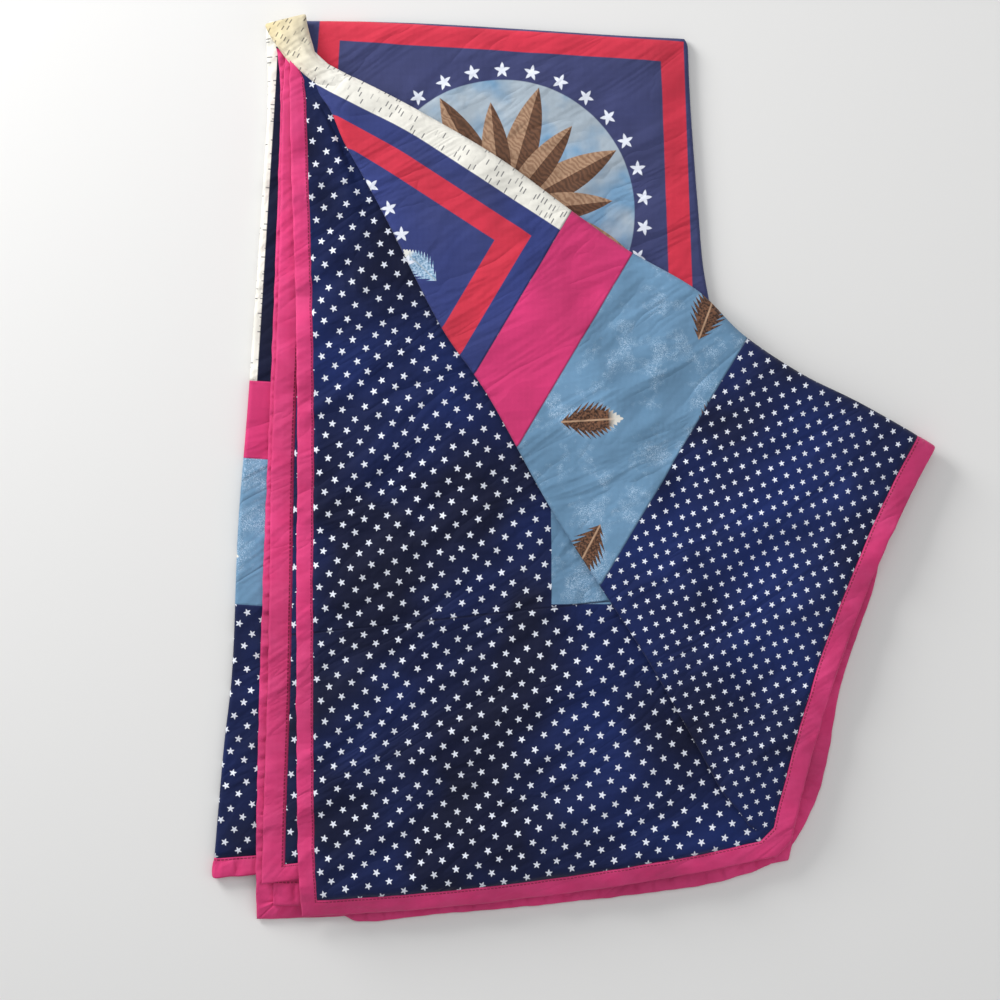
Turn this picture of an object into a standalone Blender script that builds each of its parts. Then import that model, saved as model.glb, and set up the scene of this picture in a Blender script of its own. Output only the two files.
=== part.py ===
# Pieced patchwork quilt blanket, pleated and laid down in a fan of layers.
# The lower fold is a long panel with both sides turned under. On it lies an inner layer,
# and over both the near fold: a top layer with one deep pleat that turns under along a
# rolled edge and comes back below. All of them run together in the gathered corner.
# Lengths in metres, +Z up, the cloth lies on z = 0.

import bpy
import bmesh
from math import pi, sin, cos, exp
from mathutils import Vector

CLOTH = 0.0045            # pieced top, thin batting and backing together
PITCH = 0.0064            # height from one layer's middle to the next
SEAM_GAP = 0.00045        # parting between the cloth and its binding
BINDING = 0.022           # width of the sewn-on binding
ROLL_RADIUS = 0.0096      # soft rolled edge where the near fold turns under
PLEAT_DEPTH = 0.070       # cloth hidden under the edge of the deep pleat
TURN_STEPS = 6            # facets in a half turn of the cloth
LEAST_STEP = 0.0014       # least distance between two points of the pleat
MM = 0.001

TABLE_LEVEL = CLOTH / 2
LOWER_LEVEL = TABLE_LEVEL + PITCH
FIRST_LEVEL = TABLE_LEVEL + 2 * PITCH

# Outlines in millimetres (x, y), from the gathered corner at the top left outward.
TOP_LEFT_EDGE = ((-325, 474), (-313, 405), (-306, 188), (-304, 17), (-305, -130), (-304, -390), (-300, -493))
INNER_LEFT_EDGE = ((-328, 474), (-321, 408), (-326, 188), (-334, 17), (-339, -130), (-345, -255), (-350, -390),
                   (-347, -457))
UNDER_LEFT_EDGE = ((-330, 472), (-324, 405), (-332, 163), (-344, -145), (-350, -365), (-351, -498))
PLEAT_EDGE = ((-314, 472), (-292, 425), (-252, 354), (-210, 278), (-149, 158), (-95, 78), (-29, -41),
              (32, -137), (82, -215), (134, -306), (175, -378), (222, -427))
ROLL_EDGE = ((-303, 473), (-265, 442), (-174, 393), (-84, 340), (-3, 281), (57, 239), (133, 195),
             (184, 146), (248, 103), (314, 70), (397, 23))
UNDER_MIDDLE = ((-315, 468), (-159, 185), (-16, -57), (138, -304), (237, -433))
LOWER_LEFT_FOLD = ((-339, 493), (-337, 414), (-343, 305), (-351, 185), (-360, 59), (-370, -68), (-376, -218),
                   (-386, -312), (-398, -452))
LOWER_RIGHT_FOLD = ((124, 474), (127, 405), (135, 295), (144, 205), (168, 118), (220, 55), (268, 0),
                    (276, -60), (256, -140), (232, -225), (216, -300), (196, -355), (165, -408))

# Bow of each hem away from the straight line between its ends, in millimetres.
BOW = {"top_left": 11, "top_right": -17, "under_left": 14, "under_right": 16}

LEFT_WING = 0.225         # width of the lower fold's turned-under left side
WING_PARTING = 0.020      # left between the two turned-under sides
LIP = 0.009               # the lower fold's top edge curls down over this much
TOP_BOW = 0.008           # rise of that edge towards the gathered corner
WING_SETBACK = 0.016      # the turned-under sides start this far below the top edge
INNER_REACH = 0.050       # the inner layer ends this far short of the pleat
INNER_HEM_AT = 0.955      # fraction down the pleat where the inner layer's hem meets it
HEM_DROOP_FROM = 0.962    # fraction down from which the hems bend to the floor
TOP_SINK = {"left": 0.0100, "right": 0.0022}   # how far the top layer's hem sinks, clear of the layer below
INNER_STEP = (0.012, 0.038)   # the top layer steps off the inner one between these distances

# The knob of gathered cloth at the corner where all layers meet.
KNOB = {"x": -0.3150, "y": 0.4700, "z": 0.0210, "half_x": 0.0290, "half_y": 0.0270, "half_z": 0.0150}

# Soft ridges of the top layer: middle, heading in degrees, half length, half width, height.
RIDGES = (
    {"x": 0.190, "y": -0.190, "heading": 33, "half_length": 0.150, "half_width": 0.024, "height": 0.0070},
    {"x": 0.165, "y": -0.075, "heading": 30, "half_length": 0.150, "half_width": 0.022, "height": 0.0050},
    {"x": 0.235, "y": -0.275, "heading": 52, "half_length": 0.060, "half_width": 0.016, "height": 0.0060},
    {"x": -0.080, "y": -0.270, "heading": 24, "half_length": 0.170, "half_width": 0.030, "height": 0.0050},
    {"x": -0.020, "y": -0.390, "heading": 20, "half_length": 0.160, "half_width": 0.026, "height": 0.0050},
    {"x": -0.190, "y": -0.100, "heading": 28, "half_length": 0.120, "half_width": 0.026, "height": 0.0045},
    {"x": -0.090, "y": 0.200, "heading": -58, "half_length": 0.110, "half_width": 0.018, "height": 0.0050},
    {"x": 0.030, "y": 0.020, "heading": -60, "half_length": 0.110, "half_width": 0.026, "height": 0.0040},
)

# Soft ridges of the open part of the lower fold.
PANEL_RIDGES = (
    {"x": -0.020, "y": 0.410, "heading": 84, "half_length": 0.060, "half_width": 0.022, "height": 0.0030},
    {"x": 0.080, "y": 0.340, "heading": 80, "half_length": 0.080, "half_width": 0.020, "height": 0.0030},
)


def clear_objects():
    for item in list(bpy.data.objects):
        bpy.data.objects.remove(item, do_unlink=True)


def smooth(low, high, value):
    t = min(max((value - low) / (high - low), 0.0), 1.0)
    return t * t * (3 - 2 * t)


def mix(a, b, t):
    return a + (b - a) * t


def along(outline, fraction):
    """Point at a fraction of the way along a smooth curve through an outline."""
    points = [Vector((x * MM, y * MM)) for x, y in outline]
    steps = [(b - a).length for a, b in zip(points, points[1:])]
    target = min(max(fraction, 0.0), 1.0) * sum(steps)
    index = 0
    while index < len(steps) - 1 and target > steps[index]:
        target -= steps[index]
        index += 1
    t = target / steps[index]
    before = points[max(index - 1, 0)]
    start, end = points[index], points[index + 1]
    leave = (end - before) / 2
    arrive = end - start
    if index + 2 < len(points):
        arrive = (points[index + 2] - start) / 2
    return (start * (2 * t**3 - 3 * t**2 + 1) + leave * (t**3 - 2 * t**2 + t)
            + end * (3 * t**2 - 2 * t**3) + arrive * (t**3 - t**2))


def ridge_height(rows, x, y):
    total = 0.0
    for row in rows:
        turn = row["heading"] * pi / 180
        dx, dy = x - row["x"], y - row["y"]
        length = (dx * cos(turn) + dy * sin(turn)) / row["half_length"]
        width = (dy * cos(turn) - dx * sin(turn)) / row["half_width"]
        total += row["height"] * exp(-length**4 - width**2)
    return total


def raised(spot, z, share=1.0, rows=RIDGES):
    return Vector((spot.x, spot.y, z + ridge_height(rows, spot.x, spot.y) * share))


def flat(spot, z):
    return Vector((spot.x, spot.y, z))


def spaced(first, last, count):
    return [mix(first, last, i / count) for i in range(count + 1)]


def hem_rows(interior):
    """Row values: up to 1 is the cloth, above 1 the binding, 2 its outer edge."""
    return spaced(0.0, 1.0, interior) + [1.0 + SEAM_GAP / BINDING, 1.5, 1.85, 2.0]


def row_fraction(row, share):
    """Fraction down a ray for a row value, where share is the binding's part of that ray."""
    if row <= 1.0:
        return row * (1 - share)
    return 1 - share * (2 - row)


def edge_columns(width):
    """Distances in from a bound edge, the outer edge first."""
    return [0.0, 0.15 * width, 0.5 * width, width - SEAM_GAP, width]


# The binding's share of each way from the corner to the hem.
RAY_SHARE = {"left": 0.0230, "pleat": 0.0245, "roll": 0.0290, "lower": 0.0235}


def pleat_shape(fraction):
    """Turn of the cloth in the pleat (radians) and its hidden depth at a fraction down."""
    turn = pi * smooth(0.03, 0.13, fraction) * (1 - smooth(0.90, 0.995, fraction))
    depth = PLEAT_DEPTH * smooth(0.10, 0.32, fraction) * (1 - smooth(0.62, 0.91, fraction))
    return turn, depth


def pleat_path(turn, depth, ease):
    """Side view of the pleat: pairs of distance across the edge and height gained.
    Where the cloth hardly turns, the points are eased apart along the flat."""
    radius = PITCH / 2
    depth = max(depth, LEAST_STEP)
    ease *= 1 - smooth(0.0, 1.2, turn)
    start = (depth + radius + CLOTH / 2) * (1 - cos(turn)) / 2
    path = []
    for i in range(TURN_STEPS + 1):
        angle = turn * i / TURN_STEPS
        path.append((start + radius * sin(angle), radius * (1 - cos(angle))))
    low = path[-1]
    high = (low[0] + depth * cos(turn), low[1] + depth * sin(turn))
    path.append(((low[0] + high[0]) / 2, (low[1] + high[1]) / 2))
    for i in range(TURN_STEPS + 1):
        angle = turn * (1 - i / TURN_STEPS)
        path.append((high[0] + radius * (sin(turn) - sin(angle)),
                     high[1] + radius * (cos(angle) - cos(turn))))
    return [(distance + ease * i, gained) for i, (distance, gained) in enumerate(path)]


def square_to(outline, fraction):
    """Level direction square to an outline, on its upper right side."""
    run = along(outline, min(fraction + 0.015, 1.0)) - along(outline, max(fraction - 0.015, 0.0))
    return Vector((-run.y, run.x)).normalized()


def bowed(start, end, t, bow):
    """Point of a shallow arc from start to end, bow to the right of its way."""
    side = (end - start).normalized()
    return start.lerp(end, t) + Vector((side.y, -side.x)) * bow * 4 * t * (1 - t)


def near_row(row):
    """Middle of the cloth of the near fold along one row, from the top layer's bound
    left edge across the pleat to the rolled edge, and back below to the under layer's."""
    left_at = row_fraction(row, RAY_SHARE["left"])
    pleat_at = row_fraction(row, RAY_SHARE["pleat"])
    roll_at = row_fraction(row, RAY_SHARE["roll"])
    swell = pleat_at**3 * MM
    droop = smooth(HEM_DROOP_FROM, 1.0, pleat_at)
    under_z = mix(FIRST_LEVEL, TABLE_LEVEL, droop)
    lift = PITCH * (1 - smooth(0.05, 0.17, pleat_at))
    top_z = FIRST_LEVEL + PITCH + lift - TOP_SINK["right"] * droop
    edge = along(PLEAT_EDGE, pleat_at)
    across = square_to(PLEAT_EDGE, pleat_at)
    turn, depth = pleat_shape(pleat_at)
    path = pleat_path(turn, depth, LEAST_STEP * mix(0.15, 1.0, smooth(0.0, 0.12, pleat_at)))
    points = []

    # Left part of the top layer, stepping down off the inner layer just before the pleat.
    left = along(TOP_LEFT_EDGE, left_at)
    span = (edge - left).length
    bound = min(BINDING, 0.4 * span)
    near_step = min(1.0, 0.5 * span / INNER_REACH)
    open_from = span - INNER_REACH * near_step
    reaches = edge_columns(bound) + [mix(bound, open_from, t) for t in (0.2, 0.4, 0.6, 0.8, 1.0)]
    reaches += [span - gap * near_step for gap in (INNER_STEP[1], 0.025, INNER_STEP[0], 0.005)]
    for reach in reaches:
        over = smooth(INNER_STEP[0], INNER_STEP[1], (span - reach) / near_step) * (1 - droop)
        sink = (TOP_SINK["left"] - TOP_SINK["right"]) * droop * (1 - smooth(0.3, 0.9, reach / span))
        ridged = smooth(0.030, 0.070, span - reach)
        spot = bowed(left, edge, reach / span, BOW["top_left"] * swell)
        points.append(raised(spot, top_z - sink + (PITCH - lift) * over, ridged))

    # Pleat: in under the edge, back above itself and out over the edge.
    for distance, gained in path:
        points.append(flat(edge + across * distance, top_z + gained))

    # Right part of the top layer, easing down off the pleat and up into the roll.
    roll_radius = mix(PITCH, ROLL_RADIUS, smooth(0.02, 0.10, roll_at))
    outward = square_to(ROLL_EDGE, roll_at)
    fold = along(ROLL_EDGE, roll_at) - outward * roll_radius
    leave = edge + across * path[-1][0]
    reach = (fold - leave).length
    crest = under_z + 2 * roll_radius
    for t in (0.08, 0.17, 0.26, 0.36, 0.47, 0.58, 0.69, 0.79, 0.88, 0.95, 1.0):
        spot = bowed(leave, fold, t, BOW["top_right"] * swell)
        distance = (spot - edge).dot(across)
        pleated = top_z + path[-1][1] * (1 - smooth(depth + 0.014, depth + 0.090, distance))
        rise = smooth(1 - min(0.055, 0.8 * reach) / reach, 1, t)
        ridged = smooth(depth + 0.014, depth + 0.060, distance) * (1 - rise)
        points.append(raised(spot, mix(pleated, crest, rise), ridged))

    # Rolled edge.
    half_height = (crest - under_z) / 2
    for i in range(1, TURN_STEPS + 2):
        angle = pi * i / (TURN_STEPS + 2)
        spot = fold + outward * roll_radius * sin(angle)
        points.append(flat(spot, under_z + half_height * (1 + cos(angle))))

    # Under layer, back to its own bound left edge.
    middle = along(UNDER_MIDDLE, pleat_at)
    for t in (0.0, 0.14, 0.28, 0.42, 0.56, 0.7, 0.85):
        points.append(flat(bowed(fold, middle, t, BOW["under_right"] * swell), under_z))
    end = along(UNDER_LEFT_EDGE, left_at)
    span = (middle - end).length
    bound = min(BINDING, 0.4 * span)
    reaches = [mix(0.0, span - bound, t) for t in (0.0, 0.2, 0.4, 0.6, 0.8)]
    reaches += [span - gap for gap in reversed(edge_columns(bound))]
    for reach in reaches:
        points.append(flat(bowed(middle, end, reach / span, -BOW["under_left"] * swell), under_z))
    return points


def inner_row(row):
    """Inner layer: a single sheet between its bound left edge and its hidden right edge."""
    fraction = row_fraction(row, RAY_SHARE["left"])
    left = along(INNER_LEFT_EDGE, fraction)
    edge = along(PLEAT_EDGE, fraction * INNER_HEM_AT)
    span = (edge - left).length
    width = span - min(INNER_REACH, 0.5 * span)
    bound = min(BINDING, 0.4 * width)
    reaches = edge_columns(bound) + [mix(bound, width, t) for t in (0.15, 0.32, 0.5, 0.68, 0.85, 1.0)]
    return [flat(left.lerp(edge, reach / span), FIRST_LEVEL + PITCH) for reach in reaches]


def lower_row(row):
    """Lower fold: turned-under right side, right fold, face, left fold, left side."""
    fraction = row_fraction(row, RAY_SHARE["lower"])
    left = along(LOWER_LEFT_FOLD, fraction)
    right = along(LOWER_RIGHT_FOLD, fraction)
    radius = PITCH / 2
    side = (left - right).normalized()
    down = (left - along(LOWER_LEFT_FOLD, 0)).length
    rounding = (1 - (1 - min(down / LIP, 1.0)) ** 2) ** 0.5
    setback = Vector((0, -WING_SETBACK * (1 - smooth(0.0, 0.35, fraction))))
    right_out = square_to(LOWER_RIGHT_FOLD, fraction) * radius
    left_out = square_to(LOWER_LEFT_FOLD, fraction) * -radius
    right_start = right - right_out
    left_start = left - left_out
    right_wing = (left_start - right_start).length - LEFT_WING - WING_PARTING
    points = []
    for t in (1.0, 0.75, 0.5, 0.25, 0.0):
        points.append(flat(right_start + side * right_wing * t + setback, TABLE_LEVEL))
    for i in range(1, TURN_STEPS):
        angle = pi * i / TURN_STEPS
        spot = right_start + right_out * sin(angle) + setback * (1 - i / TURN_STEPS)
        points.append(flat(spot, TABLE_LEVEL + radius * (1 - cos(angle)) * rounding))
    for t in spaced(0.0, 1.0, 14):
        spot = right_start.lerp(left_start, t)
        spot.y += TOP_BOW * sin(pi * t) * t * (1 - fraction)
        points.append(raised(spot, mix(TABLE_LEVEL, LOWER_LEVEL, rounding), rounding, PANEL_RIDGES))
    for i in range(1, TURN_STEPS):
        angle = pi * i / TURN_STEPS
        spot = left_start + left_out * sin(angle) + setback * (i / TURN_STEPS)
        points.append(flat(spot, TABLE_LEVEL + radius * (1 + cos(angle)) * rounding))
    for t in (0.0, 0.33, 0.66, 1.0):
        points.append(flat(left_start - side * LEFT_WING * t + setback, TABLE_LEVEL))
    return points


def cloth_solid(name, grid, picked):
    """Closed solid of the picked cells of a grid of points, half its thickness each way."""
    mesh = bmesh.new()
    rows, columns = len(grid), len(grid[0])
    cells = [(i, j) for i in range(rows - 1) for j in range(columns - 1) if picked(i, j)]
    chosen = set(cells)
    normals = {}
    for i in range(rows - 1):
        for j in range(columns - 1):
            a, b, c, d = grid[i][j], grid[i][j + 1], grid[i + 1][j + 1], grid[i + 1][j]
            normal = (c - a).cross(b - d).normalized()
            for corner in ((i, j), (i, j + 1), (i + 1, j + 1), (i + 1, j)):
                normals[corner] = normals.get(corner, Vector()) + normal
    for i, j in sorted(normals):
        for corner in ((i + 1, j), (i, j + 1)):
            if corner in normals and (grid[i][j] - grid[corner[0]][corner[1]]).length < 1.5 * SEAM_GAP:
                normals[i, j] = normals[corner] = normals[i, j] + normals[corner]
    upper, lower = {}, {}
    for corner in sorted({(i + di, j + dj) for i, j in cells for di in (0, 1) for dj in (0, 1)}):
        shift = normals[corner].normalized() * CLOTH / 2
        centre = grid[corner[0]][corner[1]]
        upper[corner] = mesh.verts.new(centre + shift)
        lower[corner] = mesh.verts.new(centre - shift)
    for i, j in cells:
        ring = ((i, j), (i, j + 1), (i + 1, j + 1), (i + 1, j))
        mesh.faces.new([upper[corner] for corner in reversed(ring)])
        mesh.faces.new([lower[corner] for corner in ring])
        beside = ((i - 1, j), (i, j + 1), (i + 1, j), (i, j - 1))
        for k in range(4):
            if beside[k] not in chosen:
                a, b = ring[k], ring[(k + 1) % 4]
                mesh.faces.new((upper[a], upper[b], lower[b], lower[a]))
    bmesh.ops.recalc_face_normals(mesh, faces=mesh.faces)
    data = bpy.data.meshes.new(name)
    mesh.to_mesh(data)
    mesh.free()
    item = bpy.data.objects.new(name, data)
    bpy.context.collection.objects.link(item)
    return item


def knob_solid(name):
    """Lump of gathered cloth at the corner."""
    mesh = bmesh.new()
    bmesh.ops.create_icosphere(mesh, subdivisions=3, radius=1.0)
    for vert in mesh.verts:
        x, y, z = vert.co
        vert.co = (KNOB["x"] + x * KNOB["half_x"], KNOB["y"] + y * KNOB["half_y"],
                   KNOB["z"] + z * KNOB["half_z"])
    data = bpy.data.meshes.new(name)
    mesh.to_mesh(data)
    mesh.free()
    item = bpy.data.objects.new(name, data)
    bpy.context.collection.objects.link(item)
    return item


def merge_layers(name, parts):
    """One closed body from layers that run together in the gathered corner."""
    whole = parts[0]
    for extra in parts[1:]:
        union = whole.modifiers.new("gather", "BOOLEAN")
        union.operation = "UNION"
        union.solver = "EXACT"
        union.object = extra
        data = bpy.data.meshes.new_from_object(whole.evaluated_get(bpy.context.evaluated_depsgraph_get()))
        whole.modifiers.clear()
        whole.data = data
        bpy.data.objects.remove(extra, do_unlink=True)
    whole.name = name
    whole.data.name = name
    return whole


def dress(item, name, colour, roughness):
    material = bpy.data.materials.new(name)
    material.use_nodes = True
    shader = material.node_tree.nodes["Principled BSDF"]
    shader.inputs["Base Color"].default_value = (*colour, 1.0)
    shader.inputs["Roughness"].default_value = roughness
    shader.inputs["Metallic"].default_value = 0.0
    item.data.materials.clear()
    item.data.materials.append(material)
    item.data.shade_smooth()
    item.data.set_sharp_from_angle(angle=0.7)


def set_origin_under_middle(items):
    """Move everything so the origin lies on the floor below the middle of the whole."""
    points = [vert.co for item in items for vert in item.data.vertices]
    low = [min(point[axis] for point in points) for axis in range(3)]
    high = [max(point[axis] for point in points) for axis in range(3)]
    shift = Vector((-(low[0] + high[0]) / 2, -(low[1] + high[1]) / 2, -low[2]))
    for item in items:
        for vert in item.data.vertices:
            vert.co += shift


BOUND_FROM = 0.065        # the side bindings come out of the gathered corner here
NEAR_ROWS = [0.016, 0.03, BOUND_FROM, BOUND_FROM + 0.0004] + hem_rows(22)[2:-5] + [0.985] + hem_rows(22)[-5:]
INNER_ROWS = [0.010, 0.025, BOUND_FROM, BOUND_FROM + 0.0004] + hem_rows(12)[1:]
LOWER_ROWS = [0.0, 0.001, 0.0025, 0.005, 0.0095, 0.018, 0.035] + hem_rows(16)[1:]


def bound_rows(rows):
    """Index of the first bound row and of the row where the hem's binding starts."""
    return rows.index(BOUND_FROM + 0.0004), rows.index(1.0 + SEAM_GAP / BINDING)


def build():
    clear_objects()
    near = [near_row(row) for row in NEAR_ROWS]
    inner = [inner_row(row) for row in INNER_ROWS]
    lower = [lower_row(row) for row in LOWER_ROWS]
    last = len(near[0]) - 1
    first_bound, hem = bound_rows(NEAR_ROWS)
    inner_bound, inner_hem_row = bound_rows(INNER_ROWS)
    lower_hem_row = LOWER_ROWS.index(1.0 + SEAM_GAP / BINDING)
    side = 3

    def near_cloth(i, j):
        return i < hem - 1 and (i < first_bound - 1 or side < j < last - side - 1)

    def near_bound(i, j):
        return i >= hem or (i >= first_bound and (j < side or j > last - side - 1))

    def inner_cloth(i, j):
        return i < inner_hem_row - 1 and (i < inner_bound - 1 or j > side)

    def inner_bound_cell(i, j):
        return i >= inner_hem_row or (i >= inner_bound and j < side)

    layers = [cloth_solid("lower", lower, lambda i, j: i < lower_hem_row - 1),
              cloth_solid("inner", inner, inner_cloth),
              knob_solid("knob"),
              cloth_solid("near", near, near_cloth)]
    quilt = merge_layers("quilt_cloth", layers)
    near_binding = cloth_solid("near_binding", near, near_bound)
    inner_binding = cloth_solid("inner_binding", inner, inner_bound_cell)
    lower_binding = cloth_solid("lower_binding", lower, lambda i, j: i >= lower_hem_row)
    dress(quilt, "star_print_cotton", (0.016, 0.024, 0.090), 0.85)
    for item in (near_binding, inner_binding, lower_binding):
        dress(item, item.name + "_cotton", (0.560, 0.030, 0.110), 0.80)
    set_origin_under_middle([quilt, near_binding, inner_binding, lower_binding])


build()
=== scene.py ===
# Patchwork star quilt, folded in a fan of layers and seen from above.
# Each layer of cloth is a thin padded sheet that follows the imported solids, with its patchwork
# printed by procedural materials. The crimson binding is a puckered strip of its own.

import bpy
import bmesh
from math import pi, sin, cos, exp, atan2, sqrt
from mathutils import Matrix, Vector, noise


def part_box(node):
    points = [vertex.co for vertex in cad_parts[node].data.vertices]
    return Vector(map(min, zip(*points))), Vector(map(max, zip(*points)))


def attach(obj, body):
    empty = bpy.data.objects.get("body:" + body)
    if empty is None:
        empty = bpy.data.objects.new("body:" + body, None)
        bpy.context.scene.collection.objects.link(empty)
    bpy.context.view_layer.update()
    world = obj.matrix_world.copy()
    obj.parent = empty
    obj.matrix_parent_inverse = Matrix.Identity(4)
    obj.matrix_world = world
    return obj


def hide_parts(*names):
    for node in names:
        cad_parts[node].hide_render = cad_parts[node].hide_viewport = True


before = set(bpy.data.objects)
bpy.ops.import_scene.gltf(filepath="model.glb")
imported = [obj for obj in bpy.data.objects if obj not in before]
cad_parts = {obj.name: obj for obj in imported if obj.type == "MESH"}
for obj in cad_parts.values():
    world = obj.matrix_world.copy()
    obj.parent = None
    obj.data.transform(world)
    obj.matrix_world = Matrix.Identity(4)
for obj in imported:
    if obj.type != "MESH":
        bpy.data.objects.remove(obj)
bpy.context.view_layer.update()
print("frame loaded")

# Outlines are drawn in millimetres, as the solids are. Prints are laid out on a plan that is 1000
# units of 1.1 mm across, with its second coordinate downwards.
mm = 0.001
plan = {"unit": 1.1, "zeroX": 574.5, "zeroY": 468.5, "across": 1000}

cloth = {
    "thickness": 0.0032,      # pieced top, thin batting and backing
    "pitch": 0.0064,          # from one layer's middle to the next
    "tableLevel": 0.00225,    # middle of the lowest layer
    "binding": 0.022,
    "seamGap": 0.00045,       # between the cloth's edge and its binding
    "rollRadius": 0.0096,     # of the near fold's soft upper edge
    "pleatDepth": 0.070,
    "turnSteps": 14,          # faces round a turn of the cloth
    "leastStep": 0.0007,
    "boundFrom": 0.020,       # share of the fold's length where the bindings leave the corner
}
lowerLevel = cloth["tableLevel"] + cloth["pitch"]
firstLevel = cloth["tableLevel"] + 2 * cloth["pitch"]

outlines = {
    "topLeftEdge": ((-318, 474), (-312, 440), (-313, 405), (-306, 188), (-304, 17), (-305, -130),
                    (-304, -390), (-300, -493)),
    "innerLeftEdge": ((-319, 474), (-318, 445), (-321, 408), (-326, 188), (-334, 17), (-339, -130),
                      (-345, -255), (-350, -390), (-347, -457)),
    "innerShownEdge": ((-319, 474), (-318, 445), (-321, 408), (-326, 188), (-333, 17), (-335.5, -130),
                       (-338, -255), (-342.5, -390), (-344, -457)),
    "underLeftEdge": ((-330, 472), (-324, 405), (-332, 163), (-344, -145), (-350, -365), (-351, -498)),
    "pleatEdge": ((-314, 472), (-292, 425), (-252, 354), (-210, 278), (-149, 158), (-95, 78), (-29, -41),
                  (32, -137), (82, -215), (134, -306), (175, -378), (222, -427)),
    "rollEdge": ((-303, 473), (-265, 438), (-238, 426), (-174, 393), (-84, 340), (-3, 281), (57, 239),
                 (133, 195), (184, 146), (248, 103), (314, 70), (397, 23)),
    "underMiddle": ((-315, 468), (-159, 185), (-16, -57), (138, -304), (237, -433)),
    "lowerLeftFold": ((-339, 493), (-337, 414), (-343, 305), (-351, 185), (-360, 59), (-370, -68),
                      (-376, -218), (-386, -312), (-398, -452)),
    "lowerRightFold": ((124, 474), (127, 405), (135, 295), (144, 205), (168, 118), (220, 55), (268, 0),
                       (276, -60), (256, -140), (232, -225), (216, -300), (196, -355), (165, -408)),
}

# How far the rows of cloth bow sideways at the hem, in millimetres.
bow = {"topLeft": 11, "topRight": -17, "underLeft": 14, "underRight": 16}
# Share of each edge's length that the hem's binding takes.
rayShare = {"left": 0.0230, "pleat": 0.0245, "roll": 0.0290, "lower": 0.0235}
hems = {"droopFrom": 0.962, "sinkLeft": 0.0100, "sinkRight": 0.0022, "innerReach": 0.050,
        "innerHemAt": 0.955, "stepFrom": 0.012, "stepTo": 0.038}

# Soft ridges: middle, heading in degrees, half length, half width and height.
topRidges = (
    (0.190, -0.190, 33, 0.150, 0.024, 0.0070),
    (0.165, -0.075, 30, 0.150, 0.022, 0.0050),
    (0.235, -0.275, 52, 0.060, 0.016, 0.0060),
    (-0.080, -0.270, 24, 0.170, 0.030, 0.0050),
    (-0.020, -0.390, 20, 0.160, 0.026, 0.0050),
    (-0.190, -0.100, 28, 0.120, 0.026, 0.0045),
    (-0.090, 0.200, -58, 0.110, 0.018, 0.0050),
    (0.030, 0.020, -60, 0.110, 0.026, 0.0040),
)
panelRidges = (
    (-0.020, 0.410, 84, 0.060, 0.022, 0.0030),
    (0.080, 0.340, 80, 0.080, 0.020, 0.0030),
)


# Eases from 0 to 1 between two values.
def smooth(low, high, value):
    t = min(max((value - low) / (high - low), 0.0), 1.0)
    return t * t * (3 - 2 * t)


def mix(a, b, t):
    return a + (b - a) * t


def spaced(first, last, count):
    return [mix(first, last, i / count) for i in range(count + 1)]


# Point between a start and an end, on a curve that leaves and arrives with the given slopes.
def curveSpot(start, end, leave, arrive, t):
    return (start * (2 * t**3 - 3 * t**2 + 1) + leave * (t**3 - 2 * t**2 + t)
            + end * (3 * t**2 - 2 * t**3) + arrive * (t**3 - t**2))


# Point at a fraction of the way along a smooth curve through an outline.
def along(name, fraction):
    points = [Vector((x * mm, y * mm)) for x, y in outlines[name]]
    steps = [(b - a).length for a, b in zip(points, points[1:])]
    target = min(max(fraction, 0.0), 1.0) * sum(steps)
    index = 0
    while index < len(steps) - 1 and target > steps[index]:
        target -= steps[index]
        index += 1
    start, end = points[index], points[index + 1]
    leave = (end - points[max(index - 1, 0)]) / 2
    arrive = end - start
    if index + 2 < len(points):
        arrive = (points[index + 2] - start) / 2
    return curveSpot(start, end, leave, arrive, target / steps[index])


# Values at a share of the way from one row of a table to the next, on a smooth curve through all.
def betweenRows(rows, index, share):
    last = len(rows) - 1
    before, start, end, after = (Vector(rows[min(max(k, 0), last)]) for k in range(index - 1, index + 3))
    return curveSpot(start, end, (end - before) / 2, (after - start) / 2, share)


# Direction across an outline, measured over a short piece of it.
def squareTo(name, fraction):
    reach = 0.015
    run = along(name, min(fraction + reach, 1.0)) - along(name, max(fraction - reach, 0.0))
    return Vector((-run.y, run.x)).normalized()


def bowed(start, end, t, amount):
    side = (end - start).normalized()
    return start.lerp(end, t) + Vector((side.y, -side.x)) * amount * 4 * t * (1 - t)


# Plan units of a spot in metres.
def planSpot(x, y):
    return x / mm / plan["unit"] + plan["zeroX"], plan["zeroY"] - y / mm / plan["unit"]


# Metres of a spot in plan units.
def fromPlan(u, v):
    return (u - plan["zeroX"]) * plan["unit"] * mm, (plan["zeroY"] - v) * plan["unit"] * mm


def ridgeHeight(rows, x, y):
    total = 0.0
    for midX, midY, heading, halfLength, halfWidth, height in rows:
        turn = heading * pi / 180
        dx, dy = x - midX, y - midY
        length = (dx * cos(turn) + dy * sin(turn)) / halfLength
        width = (dy * cos(turn) - dx * sin(turn)) / halfWidth
        total += height * exp(-length**4 - width**2)
    return total


wrinkles = {
    "softSize": 0.070, "softHeight": 0.0052,      # broad swells of the batting
    "creaseLength": 0.130, "creaseWidth": 0.030, "creaseHeight": 0.0052,   # slanting soft creases
    "creaseHeading": 31,
    "fineSize": 0.020, "fineHeight": 0.0011,      # puckers between stitches
}


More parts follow.
